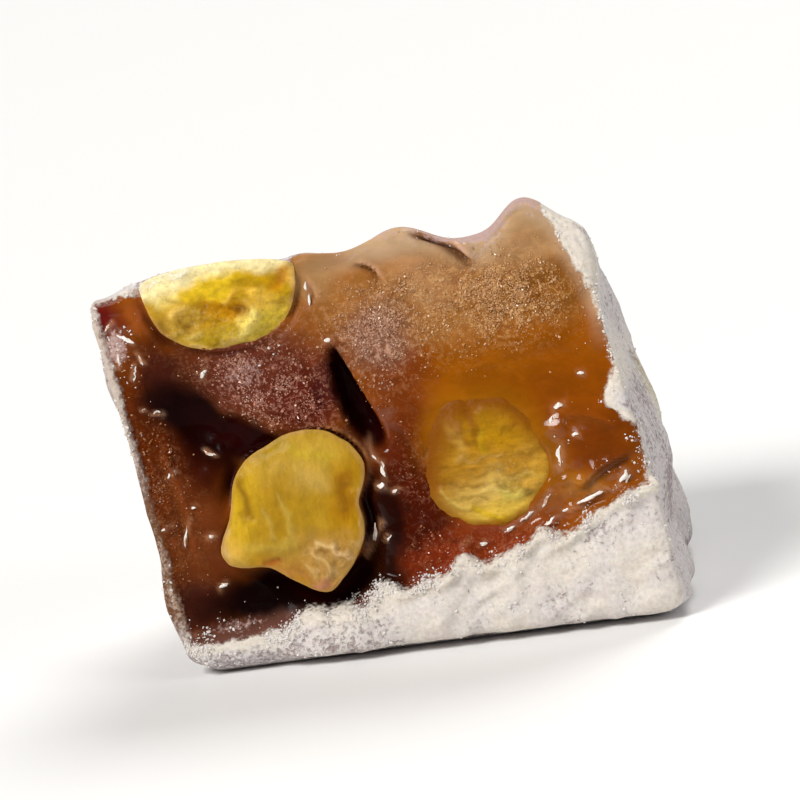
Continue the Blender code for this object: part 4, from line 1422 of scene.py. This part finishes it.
# %% Sugar group
sugar_grain, given, result = new_group(
    "sugar_grain",
    {"Color": "Color", "Crystal": "Color", "Amount": "Float", "Place": "Vector"},
    {"Color": "Color", "Share": "Float", "Height": "Float"},
)
wander = add_node(sugar_grain, "TexNoise", {"Vector": given["Place"], "Scale": 4.0, "Detail": 2.0})
wander = add_node(sugar_grain, "VectorMath", {0: wander.outputs[1], "Scale": 0.45}, operation="SCALE")
stray = add_node(sugar_grain, "VectorMath", {0: given["Place"], 1: wander.outputs[0]}).outputs[0]
cells = add_node(sugar_grain, "TexVoronoi", {"Vector": stray, "Scale": 3.0, "Randomness": 1.0})
lot = add_node(sugar_grain, "SeparateColor", {0: cells.outputs["Color"]}).outputs[0]
fine = noise_node(sugar_grain, given["Place"], 1.8, 4.0, 0.65, 0.5)
chosen = weighted_sum(sugar_grain, (lot, 1), (fine, 1.2))
body = step_node(sugar_grain, cells.outputs["Distance"], 0.50, 0.12)
pale = times(sugar_grain, step_node(sugar_grain, chosen, 0.85, 1.40), body)
curls = noise_node(sugar_grain, given["Place"], 0.95, 3.0, 0.62, 1.4)
from_crest = math_node(sugar_grain, "ABSOLUTE", about_zero(sugar_grain, curls))
crest = step_node(sugar_grain, from_crest, 0.060, 0.012)
crest = times(sugar_grain, crest, step_node(sugar_grain, fine, 0.42, 0.58))
pale = math_node(sugar_grain, "MAXIMUM", pale, times(sugar_grain, crest, 0.85))
share = times(sugar_grain, pale, given["Amount"], clamp=True)
dark = step_node(sugar_grain, fine, 0.52, 0.38, 0.0, 0.45)
dark = times(sugar_grain, dark, given["Amount"], clamp=True)
shaded = mix_colors(sugar_grain, dark, given["Color"], given["Color"], "MULTIPLY")
lift = weighted_sum(sugar_grain, (body, 1), (fine, 1), (crest, 1))
set_inputs(sugar_grain, result, {
    "Color": mix_colors(sugar_grain, share, shaded, given["Crystal"]),
    "Share": share,
    "Height": times(sugar_grain, lift, given["Amount"]),
})
print("group:", sugar_grain.name)

# %% [markdown]
# ## The jelly's material
#
# One material covers the whole skin, because the powdered rind and the wet cut blend into each other at
# the torn rim. The kept colours give the depth of the jelly, sugar grain and powder lie over them, and
# the rim decides where the rind takes over. A clear coat gives the wet shine, and a little light
# scattered under the surface softens it.

# %% Start of the jelly material
def new_material(name, **constants):
    """A material with a Principled shader, its named sockets set directly: (material, tree, shader)."""
    material = bpy.data.materials.new(name)
    material.use_nodes = True
    tree = material.node_tree
    shader = tree.nodes["Principled BSDF"]
    for key, value in constants.items():
        shader.inputs[key.replace("_", " ")].default_value = value
    return material, tree, shader


jelly_look, tree, shader = new_material(
    "jelly_with_powdered_rind", Coat_Roughness=0.10, Coat_IOR=1.45, Subsurface_Weight=0.10,
    Subsurface_Radius=(1.0, 0.35, 0.12), Subsurface_Scale=0.7 * MM, IOR=1.35, Specular_IOR_Level=0.04,
)
place = place_in_mm(tree)
rim_value = attribute_node(tree, "rim")
sugar_value = attribute_node(tree, "sugar")
bloom_value = attribute_node(tree, "bloom")
gap_value = attribute_node(tree, "gap")
print("material:", jelly_look.name)

# %% Wet jelly with sugar and dried starch
DRIED_STARCH = (0.480, 0.330, 0.300)

clouds = noise_node(tree, place_in_mm(tree, (0.6, 1.0, 1.3)), 0.55, 3.0, 0.6, 0.4)
jelly_tint = attribute_node(tree, "jelly_tint", "Color")
grain = use_group(tree, sugar_grain, {
    "Color": shade(tree, jelly_tint, step_node(tree, clouds, 0.3, 0.7, 0.86, 1.12)),
    "Crystal": attribute_node(tree, "grain_tint", "Color"),
    "Amount": times(tree, sugar_value, 0.95),
    "Place": place,
})
dusted = use_group(tree, powder, {
    "Color": grain["Color"],
    "Powder": DRIED_STARCH,
    "Cover": step_node(tree, bloom_value, 0.0, 1.4, -0.9, 0.9),
    "Mottling": 0.4,
    "Place": place,
})
print("wet jelly:", len(tree.nodes), "nodes so far")

# %% Powdered rind
POWDER_COLOR = (0.640, 0.590, 0.585)
THICK_POWDER = (0.725, 0.660, 0.575)
NUT_POWDER = (0.710, 0.660, 0.565)
RIM_POWDER = (0.390, 0.275, 0.210)
RIND_BELOW = (0.325, 0.255, 0.253)
NUT_BELOW = (0.470, 0.380, 0.220)
NUT_EDGE = (0.260, 0.170, 0.110)
RIM_BELOW = (0.150, 0.065, 0.030)

over_nut = attribute_node(tree, "nut_below")
nut_crease = attribute_node(tree, "nut_edge")
thick = attribute_node(tree, "thick_powder")
on_left_rim = attribute_node(tree, "left_rim")
below = mix_colors(tree, nut_crease, mix_colors(tree, over_nut, RIND_BELOW, NUT_BELOW), NUT_EDGE)
below = mix_colors(tree, on_left_rim, below, RIM_BELOW)
powder_tone = mix_colors(tree, over_nut, mix_colors(tree, thick, POWDER_COLOR, THICK_POWDER), NUT_POWDER)
powder_tone = mix_colors(tree, on_left_rim, powder_tone, RIM_POWDER)
broad = step_node(tree, noise_node(tree, place, 0.16, 2.0, 0.5), 0.35, 0.65, 0.50, 1.05)
cover = weighted_sum(tree, (broad, 1), (attribute_node(tree, "pucker"), 0.4), (thick, 0.7),
                     (nut_crease, -0.7), (on_left_rim, -0.35))
rind = use_group(tree, powder, {
    "Color": below,
    "Powder": powder_tone,
    "Cover": cover,
    "Mottling": 1.0,
    "Place": place,
})
print("rind:", len(tree.nodes), "nodes so far")

# %% Join the wet jelly and the rind at the torn rim
torn_noise = about_zero(tree, noise_node(tree, place, 2.4, 3.0, 0.65))
on_rind_node = step_node(tree, weighted_sum(tree, (rim_value, 1), (torn_noise, 0.9)), 0.12, -0.22)

cut_rough = mix_numbers(tree, dusted["Share"], mix_numbers(tree, sugar_value, 0.26, 0.45), 0.8)
wet_shine = mix_numbers(tree, attribute_node(tree, "wet"), 0.02, 0.80)
shine = mix_numbers(tree, dusted["Share"], wet_shine, 0.01)
shine = times(tree, math_node(tree, "SUBTRACT", 1.0, on_rind_node), shine)
shine = times(tree, shine, math_node(tree, "SUBTRACT", 1.0, times(tree, gap_value, 0.8)))
cut_height = weighted_sum(tree, (grain["Height"], 0.5), (noise_node(tree, place, 1.1, 3.0, 0.55), 0.35))
height = mix_numbers(tree, on_rind_node, cut_height, times(tree, rind["Height"], 0.8))
bump = add_node(tree, "Bump", {"Height": height, "Strength": 0.9, "Distance": 0.12 * MM})
set_inputs(tree, shader, {
    "Base Color": mix_colors(tree, on_rind_node, dusted["Color"], rind["Color"]),
    "Roughness": mix_numbers(tree, on_rind_node, cut_rough, 0.86),
    "Coat Weight": shine,
    "Normal": bump.outputs[0],
})
jelly.data.materials.append(jelly_look)
print("material:", jelly_look.name, len(tree.nodes), "nodes")

# %% [markdown]
# ## The kernels' material
#
# Cut pistachio flesh is waxy: fine streaks run along the seed leaf, pits and crumbs roughen it, and its
# cut takes a soft shine. Powder gathers on the upper edge of the top kernel.

# %% Kernel materials
KERNEL_FINISH = {
    "pistachio_top": dict(roughness=0.50, grain=0.9, coat=0.02, specular=0.06, stretch=(0.8, 1.0, 1.3)),
    "pistachio_centre": dict(roughness=0.45, grain=0.6, coat=0.04, specular=0.08, stretch=(1.3, 1.0, 0.6)),
    "pistachio_right": dict(roughness=0.45, grain=0.9, coat=0.03, specular=0.06, stretch=(0.6, 1.0, 1.6)),
}
PIT_COLOR = (0.330, 0.150, 0.010)
DARK_CRUMB = (0.270, 0.120, 0.014)
PALE_CRUMB = (0.620, 0.450, 0.210)
FLESH_DUST = (0.860, 0.800, 0.600)

for name, finish in KERNEL_FINISH.items():
    look, tree, shader = new_material(
        name + "_flesh", Coat_Roughness=0.15, Coat_Weight=finish["coat"], Subsurface_Weight=0.15,
        Subsurface_Radius=(1.0, 0.6, 0.15), Subsurface_Scale=0.7 * MM,
        Specular_IOR_Level=finish["specular"],
    )
    place = place_in_mm(tree)
    streaks = noise_node(tree, place_in_mm(tree, finish["stretch"]), 1.3, 4.0, 0.62, 0.3)
    pits = noise_node(tree, place, 4.2, 3.0, 0.6)
    crumbs = noise_node(tree, place, 2.6, 3.0, 0.65, 0.5)
    veiled, grainy = attribute_node(tree, "veiled"), attribute_node(tree, "grainy")

    light = step_node(tree, streaks, 0.32, 0.68, 1 - 0.22 * finish["grain"], 1 + 0.14 * finish["grain"])
    toned = shade(tree, attribute_node(tree, "flesh_tint", "Color"), mix_numbers(tree, veiled, light, 1.0))
    pitted = step_node(tree, pits, 0.56, 0.72, 0.0, 0.35 * finish["grain"])
    toned = mix_colors(tree, mix_numbers(tree, veiled, pitted, 0.0), toned, PIT_COLOR)
    dark_crumbs = times(tree, grainy, step_node(tree, crumbs, 0.46, 0.36, 0.0, 0.60))
    pale_crumbs = times(tree, grainy, step_node(tree, crumbs, 0.55, 0.66, 0.0, 0.45))
    toned = mix_colors(tree, dark_crumbs, toned, DARK_CRUMB)
    toned = mix_colors(tree, pale_crumbs, toned, PALE_CRUMB)
    edge = use_group(tree, powder, {
        "Color": toned,
        "Powder": mix_colors(tree, attribute_node(tree, "behind"), FLESH_DUST, POWDER_COLOR),
        "Cover": step_node(tree, attribute_node(tree, "dusting"), 0.0, 1.0, -1.2, 0.85),
        "Mottling": 0.5,
        "Place": place,
    })
    rise = weighted_sum(tree, (streaks, 0.5), (pits, 0.8 * finish["grain"]), (edge["Share"], 0.8),
                        (times(tree, grainy, times(tree, crumbs, 2.0)), 1))
    bump = add_node(tree, "Bump", {"Height": rise, "Strength": 0.8, "Distance": 0.10 * MM})
    set_inputs(tree, shader, {
        "Base Color": edge["Color"],
        "Roughness": mix_numbers(tree, edge["Share"], finish["roughness"], 0.85),
        "Normal": bump.outputs[0],
    })
    kernels[name].data.materials.append(look)
    print("material:", look.name, len(tree.nodes), "nodes")

# %% [markdown]
# ## Loose grains
#
# Clumps of starch cling to the torn rim and lie here and there on the rind, and crystals of sugar glint
# on the wet cut. Each is a small lumpy solid of a few faces; thousands of them are joined in one mesh.
# Where one may land is a chance for each corner of the jelly's mesh, from the same numbers as the relief.

# %% Small solids
CRYSTAL_TAPER = 0.7


def hull_faces(corners):
    """Triangles of three corners with every other corner on their inner side, turned to face out. A flat
    side of four corners is cut once, by the diagonal from its first corner."""
    found, seen = [], set()
    count = len(corners)
    for i in range(count):
        for j in range(i + 1, count):
            for k in range(j + 1, count):
                across = np.cross(corners[j] - corners[i], corners[k] - corners[i])
                side = (corners - corners[i]) @ across
                if side.max() > 1e-9 and side.min() < -1e-9:
                    continue
                flat = tuple(np.flatnonzero(np.abs(side) < 1e-9))
                if flat in seen:
                    continue
                seen.add(flat)
                out = across if side.max() <= 1e-9 else -across
                middle = corners[list(flat)].mean(axis=0)
                first = corners[flat[0]] - middle
                order = sorted(flat, key=lambda c: math.atan2(
                    np.dot(np.cross(first, corners[c] - middle), out) / np.linalg.norm(out),
                    np.dot(first, corners[c] - middle)))
                found += [(order[0], order[n], order[n + 1]) for n in range(1, len(order) - 1)]
    return np.array(found)


def lump():
    """An icosahedron: twelve corners on a unit ball and twenty faces."""
    ratio = (1 + math.sqrt(5)) / 2
    signs = list(product((-1, 1), repeat=2))
    corners = [(s, t * ratio, 0) for s, t in signs]
    corners += [(0, s, t * ratio) for s, t in signs]
    corners += [(t * ratio, 0, s) for s, t in signs]
    corners = np.array(corners, float)
    corners /= np.linalg.norm(corners, axis=1)[:, None]
    return corners, hull_faces(corners)


def crystal():
    """A sugar crystal: a cube's eight corners, narrowed towards one end, in twelve triangles."""
    corners = np.array(list(product((-1, 1), repeat=3)), float) / math.sqrt(3)
    corners[:, :2] *= np.where(corners[:, 2:] > 0, CRYSTAL_TAPER, 1.0)
    return corners, hull_faces(corners)


print("faces:", len(lump()[1]), "on a clump,", len(crystal()[1]), "on a crystal")

# %% Scatter one kind of grain
# How far a grain usually strays from its corner, in millimetres, and the spread of its dents and sides
DRIFT = 0.12
DENT_SPREAD = 0.22
SIDE_SPREAD = (0.6, 1.4)


def random_turns(rng, count):
    """Turning matrices from random unit quaternions."""
    four = rng.normal(size=(4, count))
    w, a, b, c = four / np.linalg.norm(four, axis=0)
    return np.stack([
        np.stack([1 - 2 * (b * b + c * c), 2 * (a * b - c * w), 2 * (a * c + b * w)], -1),
        np.stack([2 * (a * b + c * w), 1 - 2 * (a * a + c * c), 2 * (b * c - a * w)], -1),
        np.stack([2 * (a * c - b * w), 2 * (b * c + a * w), 1 - 2 * (a * a + b * b)], -1),
    ], 1)


def scatter(name, shape, chance, count, size, sink, seed, tints=None):
    """Copies of a small solid at random corners of the jelly: each has its own turn, size, flattening and
    dents, and is sunk into the skin by a share of its size. It may take the colour of its corner. Size is
    the usual radius in millimetres and the spread of its logarithm."""
    rng = np.random.default_rng(seed)
    corners, faces = shape
    spot = rng.choice(len(jelly_points), count, p=chance / chance.sum())
    out = jelly_normals[spot]
    drift = rng.normal(size=(count, 3)) * DRIFT
    drift -= out * (drift * out).sum(axis=1)[:, None]
    sizes = size[0] * np.exp(size[1] * rng.normal(size=count)).clip(0.4, 2.4)
    dents = corners[None] * (1 + DENT_SPREAD * rng.normal(size=(count, len(corners), 1)).clip(-2, 2))
    dents = dents * (sizes[:, None] * rng.uniform(*SIDE_SPREAD, size=(count, 3)))[:, None, :]
    turned = np.einsum("nij,nkj->nki", random_turns(rng, count), dents)
    middle = jelly_points[spot] + drift + out * (sizes * (0.5 - sink))[:, None]
    placed = turned + middle[:, None, :]
    placed[..., 2] = np.maximum(placed[..., 2], 0.0)
    all_faces = faces[None] + (np.arange(count) * len(corners))[:, None, None]
    piece = new_piece(name, placed.reshape(-1, 3), all_faces.reshape(-1, 3))
    piece.data.shade_flat()
    if tints is not None:
        keep_color(piece, "grain_tint", np.repeat(tints[spot], len(corners), axis=0))
    print(f"{name}: {count} grains, {count * len(faces)} triangles")
    return piece


jelly_normals = np.zeros(len(jelly_points) * 3, np.float32)
jelly.data.vertex_normals.foreach_get("vector", jelly_normals)
jelly_normals = jelly_normals.reshape(-1, 3).astype(float)
print("normals read:", len(jelly_normals))

# %% Clumps of starch
# They gather on the torn edge, most of all along the flap, in the powder at the foot and at the corner,
# and a few lie anywhere on the rind and on the bloomed jelly
ANYWHERE_ON_RIND = 0.05
FOOT_CRUMBS = 0.16
ON_BLOOM = 0.008
AT_CORNER = 0.03
CORNER_CRUMBS = (-17.3, 23.2, 0.8, 1.5)

above_foot = smoothstep(0.3, 1.0, jelly_points[:, 2])
torn_edge = soft(rim + 0.25, 0.45) * smoothstep(0.2, 1.0, under_lip)
torn_edge *= 0.25 + flap_started * soft(flap_edge, 0.8) * 1.6
torn_edge *= 1 - 0.85 * soft(from_left, 2.5)
clump_chance = ANYWHERE_ON_RIND * smoothstep(0.2, -0.6, rim) + torn_edge
clump_chance += FOOT_CRUMBS * soft(rim - 0.2, 1.1) * smoothstep(5.0, 3.0, z)
clump_chance += ON_BLOOM * bloom * bare * smoothstep(0.02, 0.09, tint[:, 0])
clump_chance *= above_foot * (0.03 + 0.97 * smoothstep(0.0, 0.6, noise(block, 1.1, 121)))
clump_chance += above_foot * AT_CORNER * ellipse_share(x, z, CORNER_CRUMBS) * cut_share
powder_clumps = scatter("powder_clumps", lump(), clump_chance * (1 - in_gap), 6500, (0.047, 0.55), 0.35, 7)

# %% Crystals of sugar and white sparkles
# Sparkles: beaded place and its share of them
SPARKLING = {
    "corner": 1.0,
    "foot": 0.8,
    "left_column": 0.3,
    "right_of_right_kernel": 0.4,
    "glossy_lobe": 0.6,
}

off_kernels = np.minimum.reduce([beside_kernel(x, z, name)[0] for name in KERNELS])
sugar_chance = bare * cut_share * (sugar**2 + 0.003) * (1 - in_gap) * smoothstep(-0.2, 0.3, off_kernels)
sugar_chance *= (0.15 + smoothstep(-0.3, 0.6, noise(block, 0.9, 123))) * smoothstep(0.01, 0.06, tint[:, 0])
crystals = scatter("sugar_crystals", crystal(), sugar_chance, 7000, (0.048, 0.45), 0.25, 11, grain_tint)

# The sparkles are white dry sugar, and their white also stands as painted sparkle on the wet places
sparkle_chance = sum(share * ellipse_share(x, z, BEADS[name]) for name, share in SPARKLING.items())
sparkles = scatter("sparkles", crystal(), bare * cut_share * sparkle_chance, 45, (0.050, 0.40), 0.2, 13)

# %% [markdown]
# ## Wet glints at named places
#
# A few lumps of melted sugar stand at named places: along the dragged edge at the lower right, beside
# the kernels and in the torn corner. Each is a small ball drawn out along the surface, and its white is a
# painted highlight, because a reflection alone would move away when the piece is turned.

# %% Glints
# Width of a glint's ball as a share of the wet ridge below it
GLINT_THINNING = 0.75
# The ball's height above the skin as a share of its width, and the shortest reach for its direction
GLINT_FLATNESS = 0.6
GLINT_REACH = 0.3


def nearest_on_cut(places):
    """Index of the jelly's corner on the cut that is nearest to each (x, z)."""
    away = np.hypot(x[None] - places[:, :1], z[None] - places[:, 1:])
    return np.where(on_cut, away, np.inf).argmin(axis=1)


def glint_points(row, ball):
    """Points of one glint: a ball stretched along the line between the two surface points at its ends,
    flattened on the skin, bent a little and dented."""
    gx, gz, length, width, turn = row
    step = max(length, GLINT_REACH) * np.array([math.cos(math.radians(turn)), math.sin(math.radians(turn))])
    ends = nearest_on_cut(np.array([[gx, gz] - step, [gx, gz] + step]))
    away = jelly_normals[ends].mean(axis=0)
    away /= np.linalg.norm(away)
    along = jelly_points[ends[1]] - jelly_points[ends[0]]
    along -= away * (along @ away)
    along /= np.linalg.norm(along)
    side = np.cross(along, away)
    width = GLINT_THINNING * width
    beads_along = ball * (0.45 * length / width, 1.0, 1.0) + [gx, gz, 0]
    dents = 0.85 + 0.75 * noise(beads_along, 0.8, 91)[:, None]
    thick = np.column_stack([1 + 0 * dents, dents, dents])
    form = ball * (length, GLINT_FLATNESS * width, width) * thick
    bend = 0.25 * length * (1 - ball[:, 0] ** 2) * noise(ball * (0.9, 0, 0) + [gx, gz, 0], 0.9, 93)
    middle = jelly_points[ends].mean(axis=0)
    return middle + form[:, :1] * along + form[:, 1:2] * away + (form[:, 2:] + bend[:, None]) * side


glint_ball, ball_faces = ball_grid(20, 14)
all_points = np.concatenate([glint_points(row, glint_ball) for row in GLINTS])
starts = [number * len(glint_ball) for number in range(len(GLINTS))]
all_faces = [tuple(start + corner for corner in face) for start in starts for face in ball_faces]
glints = new_piece("sugar_glints", all_points, all_faces)
print(f"{len(GLINTS)} glints, {len(all_faces)} faces")

# %% [markdown]
# ## Finishes of the grains
#
# Starch is dull and a little see-through, and sugar is glassy. Each finish mixes two shades by a noise,
# because no two grains are alike. The crystals take the colour kept for the place where they lie, the
# white sparkles stay pale everywhere as dry sugar with painted sparkle, and a glint is clear brown in some
# places and painted white as a highlight in others.

# %% Grain materials
def finish_grains(piece, name, color_of, scale, detail, **constants):
    """Gives a piece its material. The function color_of makes the colour from a noise of this scale and
    detail."""
    material, tree, shader = new_material(name, **constants)
    tone = noise_node(tree, place_in_mm(tree), scale, detail, 0.6)
    set_inputs(tree, shader, {"Base Color": color_of(tree, tone)})
    piece.data.materials.append(material)
    print("material:", material.name)


def starch_color(tree, tone):
    """Two shades of starch."""
    return mix_colors(tree, tone, (0.640, 0.570, 0.530), (0.860, 0.830, 0.800))


def crystal_color(tree, tone):
    """The kept colour of the place, browner in part."""
    browner = step_node(tree, tone, 0.35, 0.75, 0.35, 0.0)
    return mix_colors(tree, browner, attribute_node(tree, "grain_tint", "Color"), (0.260, 0.090, 0.025))


def sparkle_color(tree, tone):
    """Two pale shades of dry sugar, whose white is partly painted sparkle."""
    return mix_colors(tree, tone, (0.480, 0.380, 0.360), (0.900, 0.860, 0.840))


def glint_color(tree, tone):
    """Clear brown and a painted white highlight, with a soft step between them."""
    return mix_colors(tree, step_node(tree, tone, 0.28, 0.52), (0.520, 0.270, 0.150), (0.880, 0.790, 0.720))


finish_grains(powder_clumps, "starch_clumps", starch_color, 2.5, 2.0, Roughness=0.9,
              Subsurface_Weight=0.2, Subsurface_Radius=(1.0, 0.9, 0.8), Subsurface_Scale=0.3 * MM)
finish_grains(crystals, "sugar_crystal", crystal_color, 1.8, 2.0, Roughness=0.22, Coat_Weight=0.5,
              Coat_Roughness=0.1)
finish_grains(sparkles, "white_sparkle", sparkle_color, 2.0, 2.0, Roughness=0.2, Coat_Weight=0.6,
              Coat_Roughness=0.08)
finish_grains(glints, "wet_glint", glint_color, 1.2, 3.0, Roughness=0.18, Coat_Weight=0.7,
              Coat_Roughness=0.06, Subsurface_Weight=0.3, Subsurface_Radius=(1.0, 0.6, 0.4),
              Subsurface_Scale=0.3 * MM)

# %% [markdown]
# ## Floor, light and camera
#
# The piece stands on a plain pale floor. A large soft lamp on the upper left models the relief, a second
# one behind makes the lip and the torn rim glow, and a dim one fills from the right. The camera looks a
# little from the right and above, as in the photograph, where the piece leans by nine degrees; the camera
# is rolled by that angle instead, so that the piece rests flat on its base.

# %% Floor
FLOOR_RADIUS = 3.0
FLOOR_DROP = 0.00003

turns = np.linspace(0, math.tau, 96, endpoint=False)
edge_x, edge_y = FLOOR_RADIUS * np.cos(turns), FLOOR_RADIUS * np.sin(turns)
round_edge = np.column_stack([edge_x, edge_y, 0 * turns - FLOOR_DROP])
floor_mesh = bpy.data.meshes.new("floor")
floor_mesh.from_pydata(round_edge.tolist(), [], [list(range(len(turns)))])
floor = bpy.data.objects.new("floor", floor_mesh)
bpy.context.scene.collection.objects.link(floor)
floor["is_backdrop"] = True
floor_look, tree, shader = new_material("pale_floor", Roughness=0.6)
faint = noise_node(tree, add_node(tree, "TexCoord").outputs["Object"], 3.0, 2.0, 0.5)
pale = mix_colors(tree, faint, (0.860, 0.855, 0.850), (0.880, 0.876, 0.870))
set_inputs(tree, shader, {"Base Color": pale})
floor_mesh.materials.append(floor_look)
print(f"floor: {FLOOR_RADIUS} m in radius")

# %% Light
def aim(direction):
    """Rotation that turns an object's -Z along a direction, with its Y up."""
    return direction.to_track_quat("-Z", "Y")


def out_from(azimuth, elevation):
    """Direction from the piece towards a place round it: azimuth 0 in front of the cut, 90 on the right."""
    a, e = math.radians(azimuth), math.radians(elevation)
    return Vector((math.sin(a) * math.cos(e), -math.cos(a) * math.cos(e), math.sin(e)))


# Lamp: azimuth, elevation, distance, side (metres), watts, colour
LAMPS = {
    "key_upper_left": (-40.0, 42.0, 2.0, 0.9, 38.0, (1.0, 0.985, 0.96)),
    "back_rim": (160.0, 50.0, 2.0, 1.0, 22.0, (1.0, 0.99, 0.97)),
    "fill_right": (60.0, 30.0, 2.2, 1.2, 9.0, (0.97, 0.985, 1.0)),
}
ROOM_COLOR = (1.0, 0.99, 0.98)
ROOM_LIGHT = 0.16

middle = Vector([(low + high) / 2 for low, high in zip(*cad_box)])
for name, (azimuth, elevation, distance, side, watts, color) in LAMPS.items():
    lamp_data = bpy.data.lights.new(name, "AREA")
    lamp_data.shape = "DISK"
    lamp_data.size = side
    lamp_data.energy = watts
    lamp_data.color = color
    lamp = bpy.data.objects.new(name, lamp_data)
    lamp.location = middle + out_from(azimuth, elevation) * distance
    lamp.rotation_mode = "QUATERNION"
    lamp.rotation_quaternion = aim(-out_from(azimuth, elevation))
    bpy.context.scene.collection.objects.link(lamp)

world = bpy.data.worlds.new("soft_room")
world.use_nodes = True
background = world.node_tree.nodes["Background"]
set_inputs(world.node_tree, background, {"Color": ROOM_COLOR, "Strength": ROOM_LIGHT})
bpy.context.scene.world = world
bpy.context.scene.view_settings.view_transform = "Standard"
print(f"{len(LAMPS)} lamps")

# %% Camera
CAMERA_AZIMUTH = 6.5
CAMERA_ELEVATION = 12.0
CAMERA_ROLL = math.radians(9.0)
CAMERA_DISTANCE = 0.52
CAMERA_LENS = 330.0

camera_data = bpy.data.cameras.new("camera")
camera_data.lens = CAMERA_LENS
camera_data.clip_start = 0.01
camera = bpy.data.objects.new("camera", camera_data)
out = out_from(CAMERA_AZIMUTH, CAMERA_ELEVATION)
camera.location = middle + out * CAMERA_DISTANCE
camera.rotation_mode = "QUATERNION"
camera.rotation_quaternion = aim(-out) @ Quaternion((0, 0, 1), -CAMERA_ROLL)
bpy.context.scene.collection.objects.link(camera)
bpy.context.scene.camera = camera
print("camera at", np.round(camera.location, 3))

# %% [markdown]
# ## The size against the solid's
#
# The dressed piece has to keep the solid's size, so its box is set beside the solid's and the growth
# along each axis is printed.

# %% Sizes
visual_box = [list(corner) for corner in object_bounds()]
growth = [(v1 - v0) / (c1 - c0) - 1 for c0, c1, v0, v1 in zip(*cad_box, *visual_box)]
print("visual box against the solid's:", [f"{share:+.1%}" for share in growth])
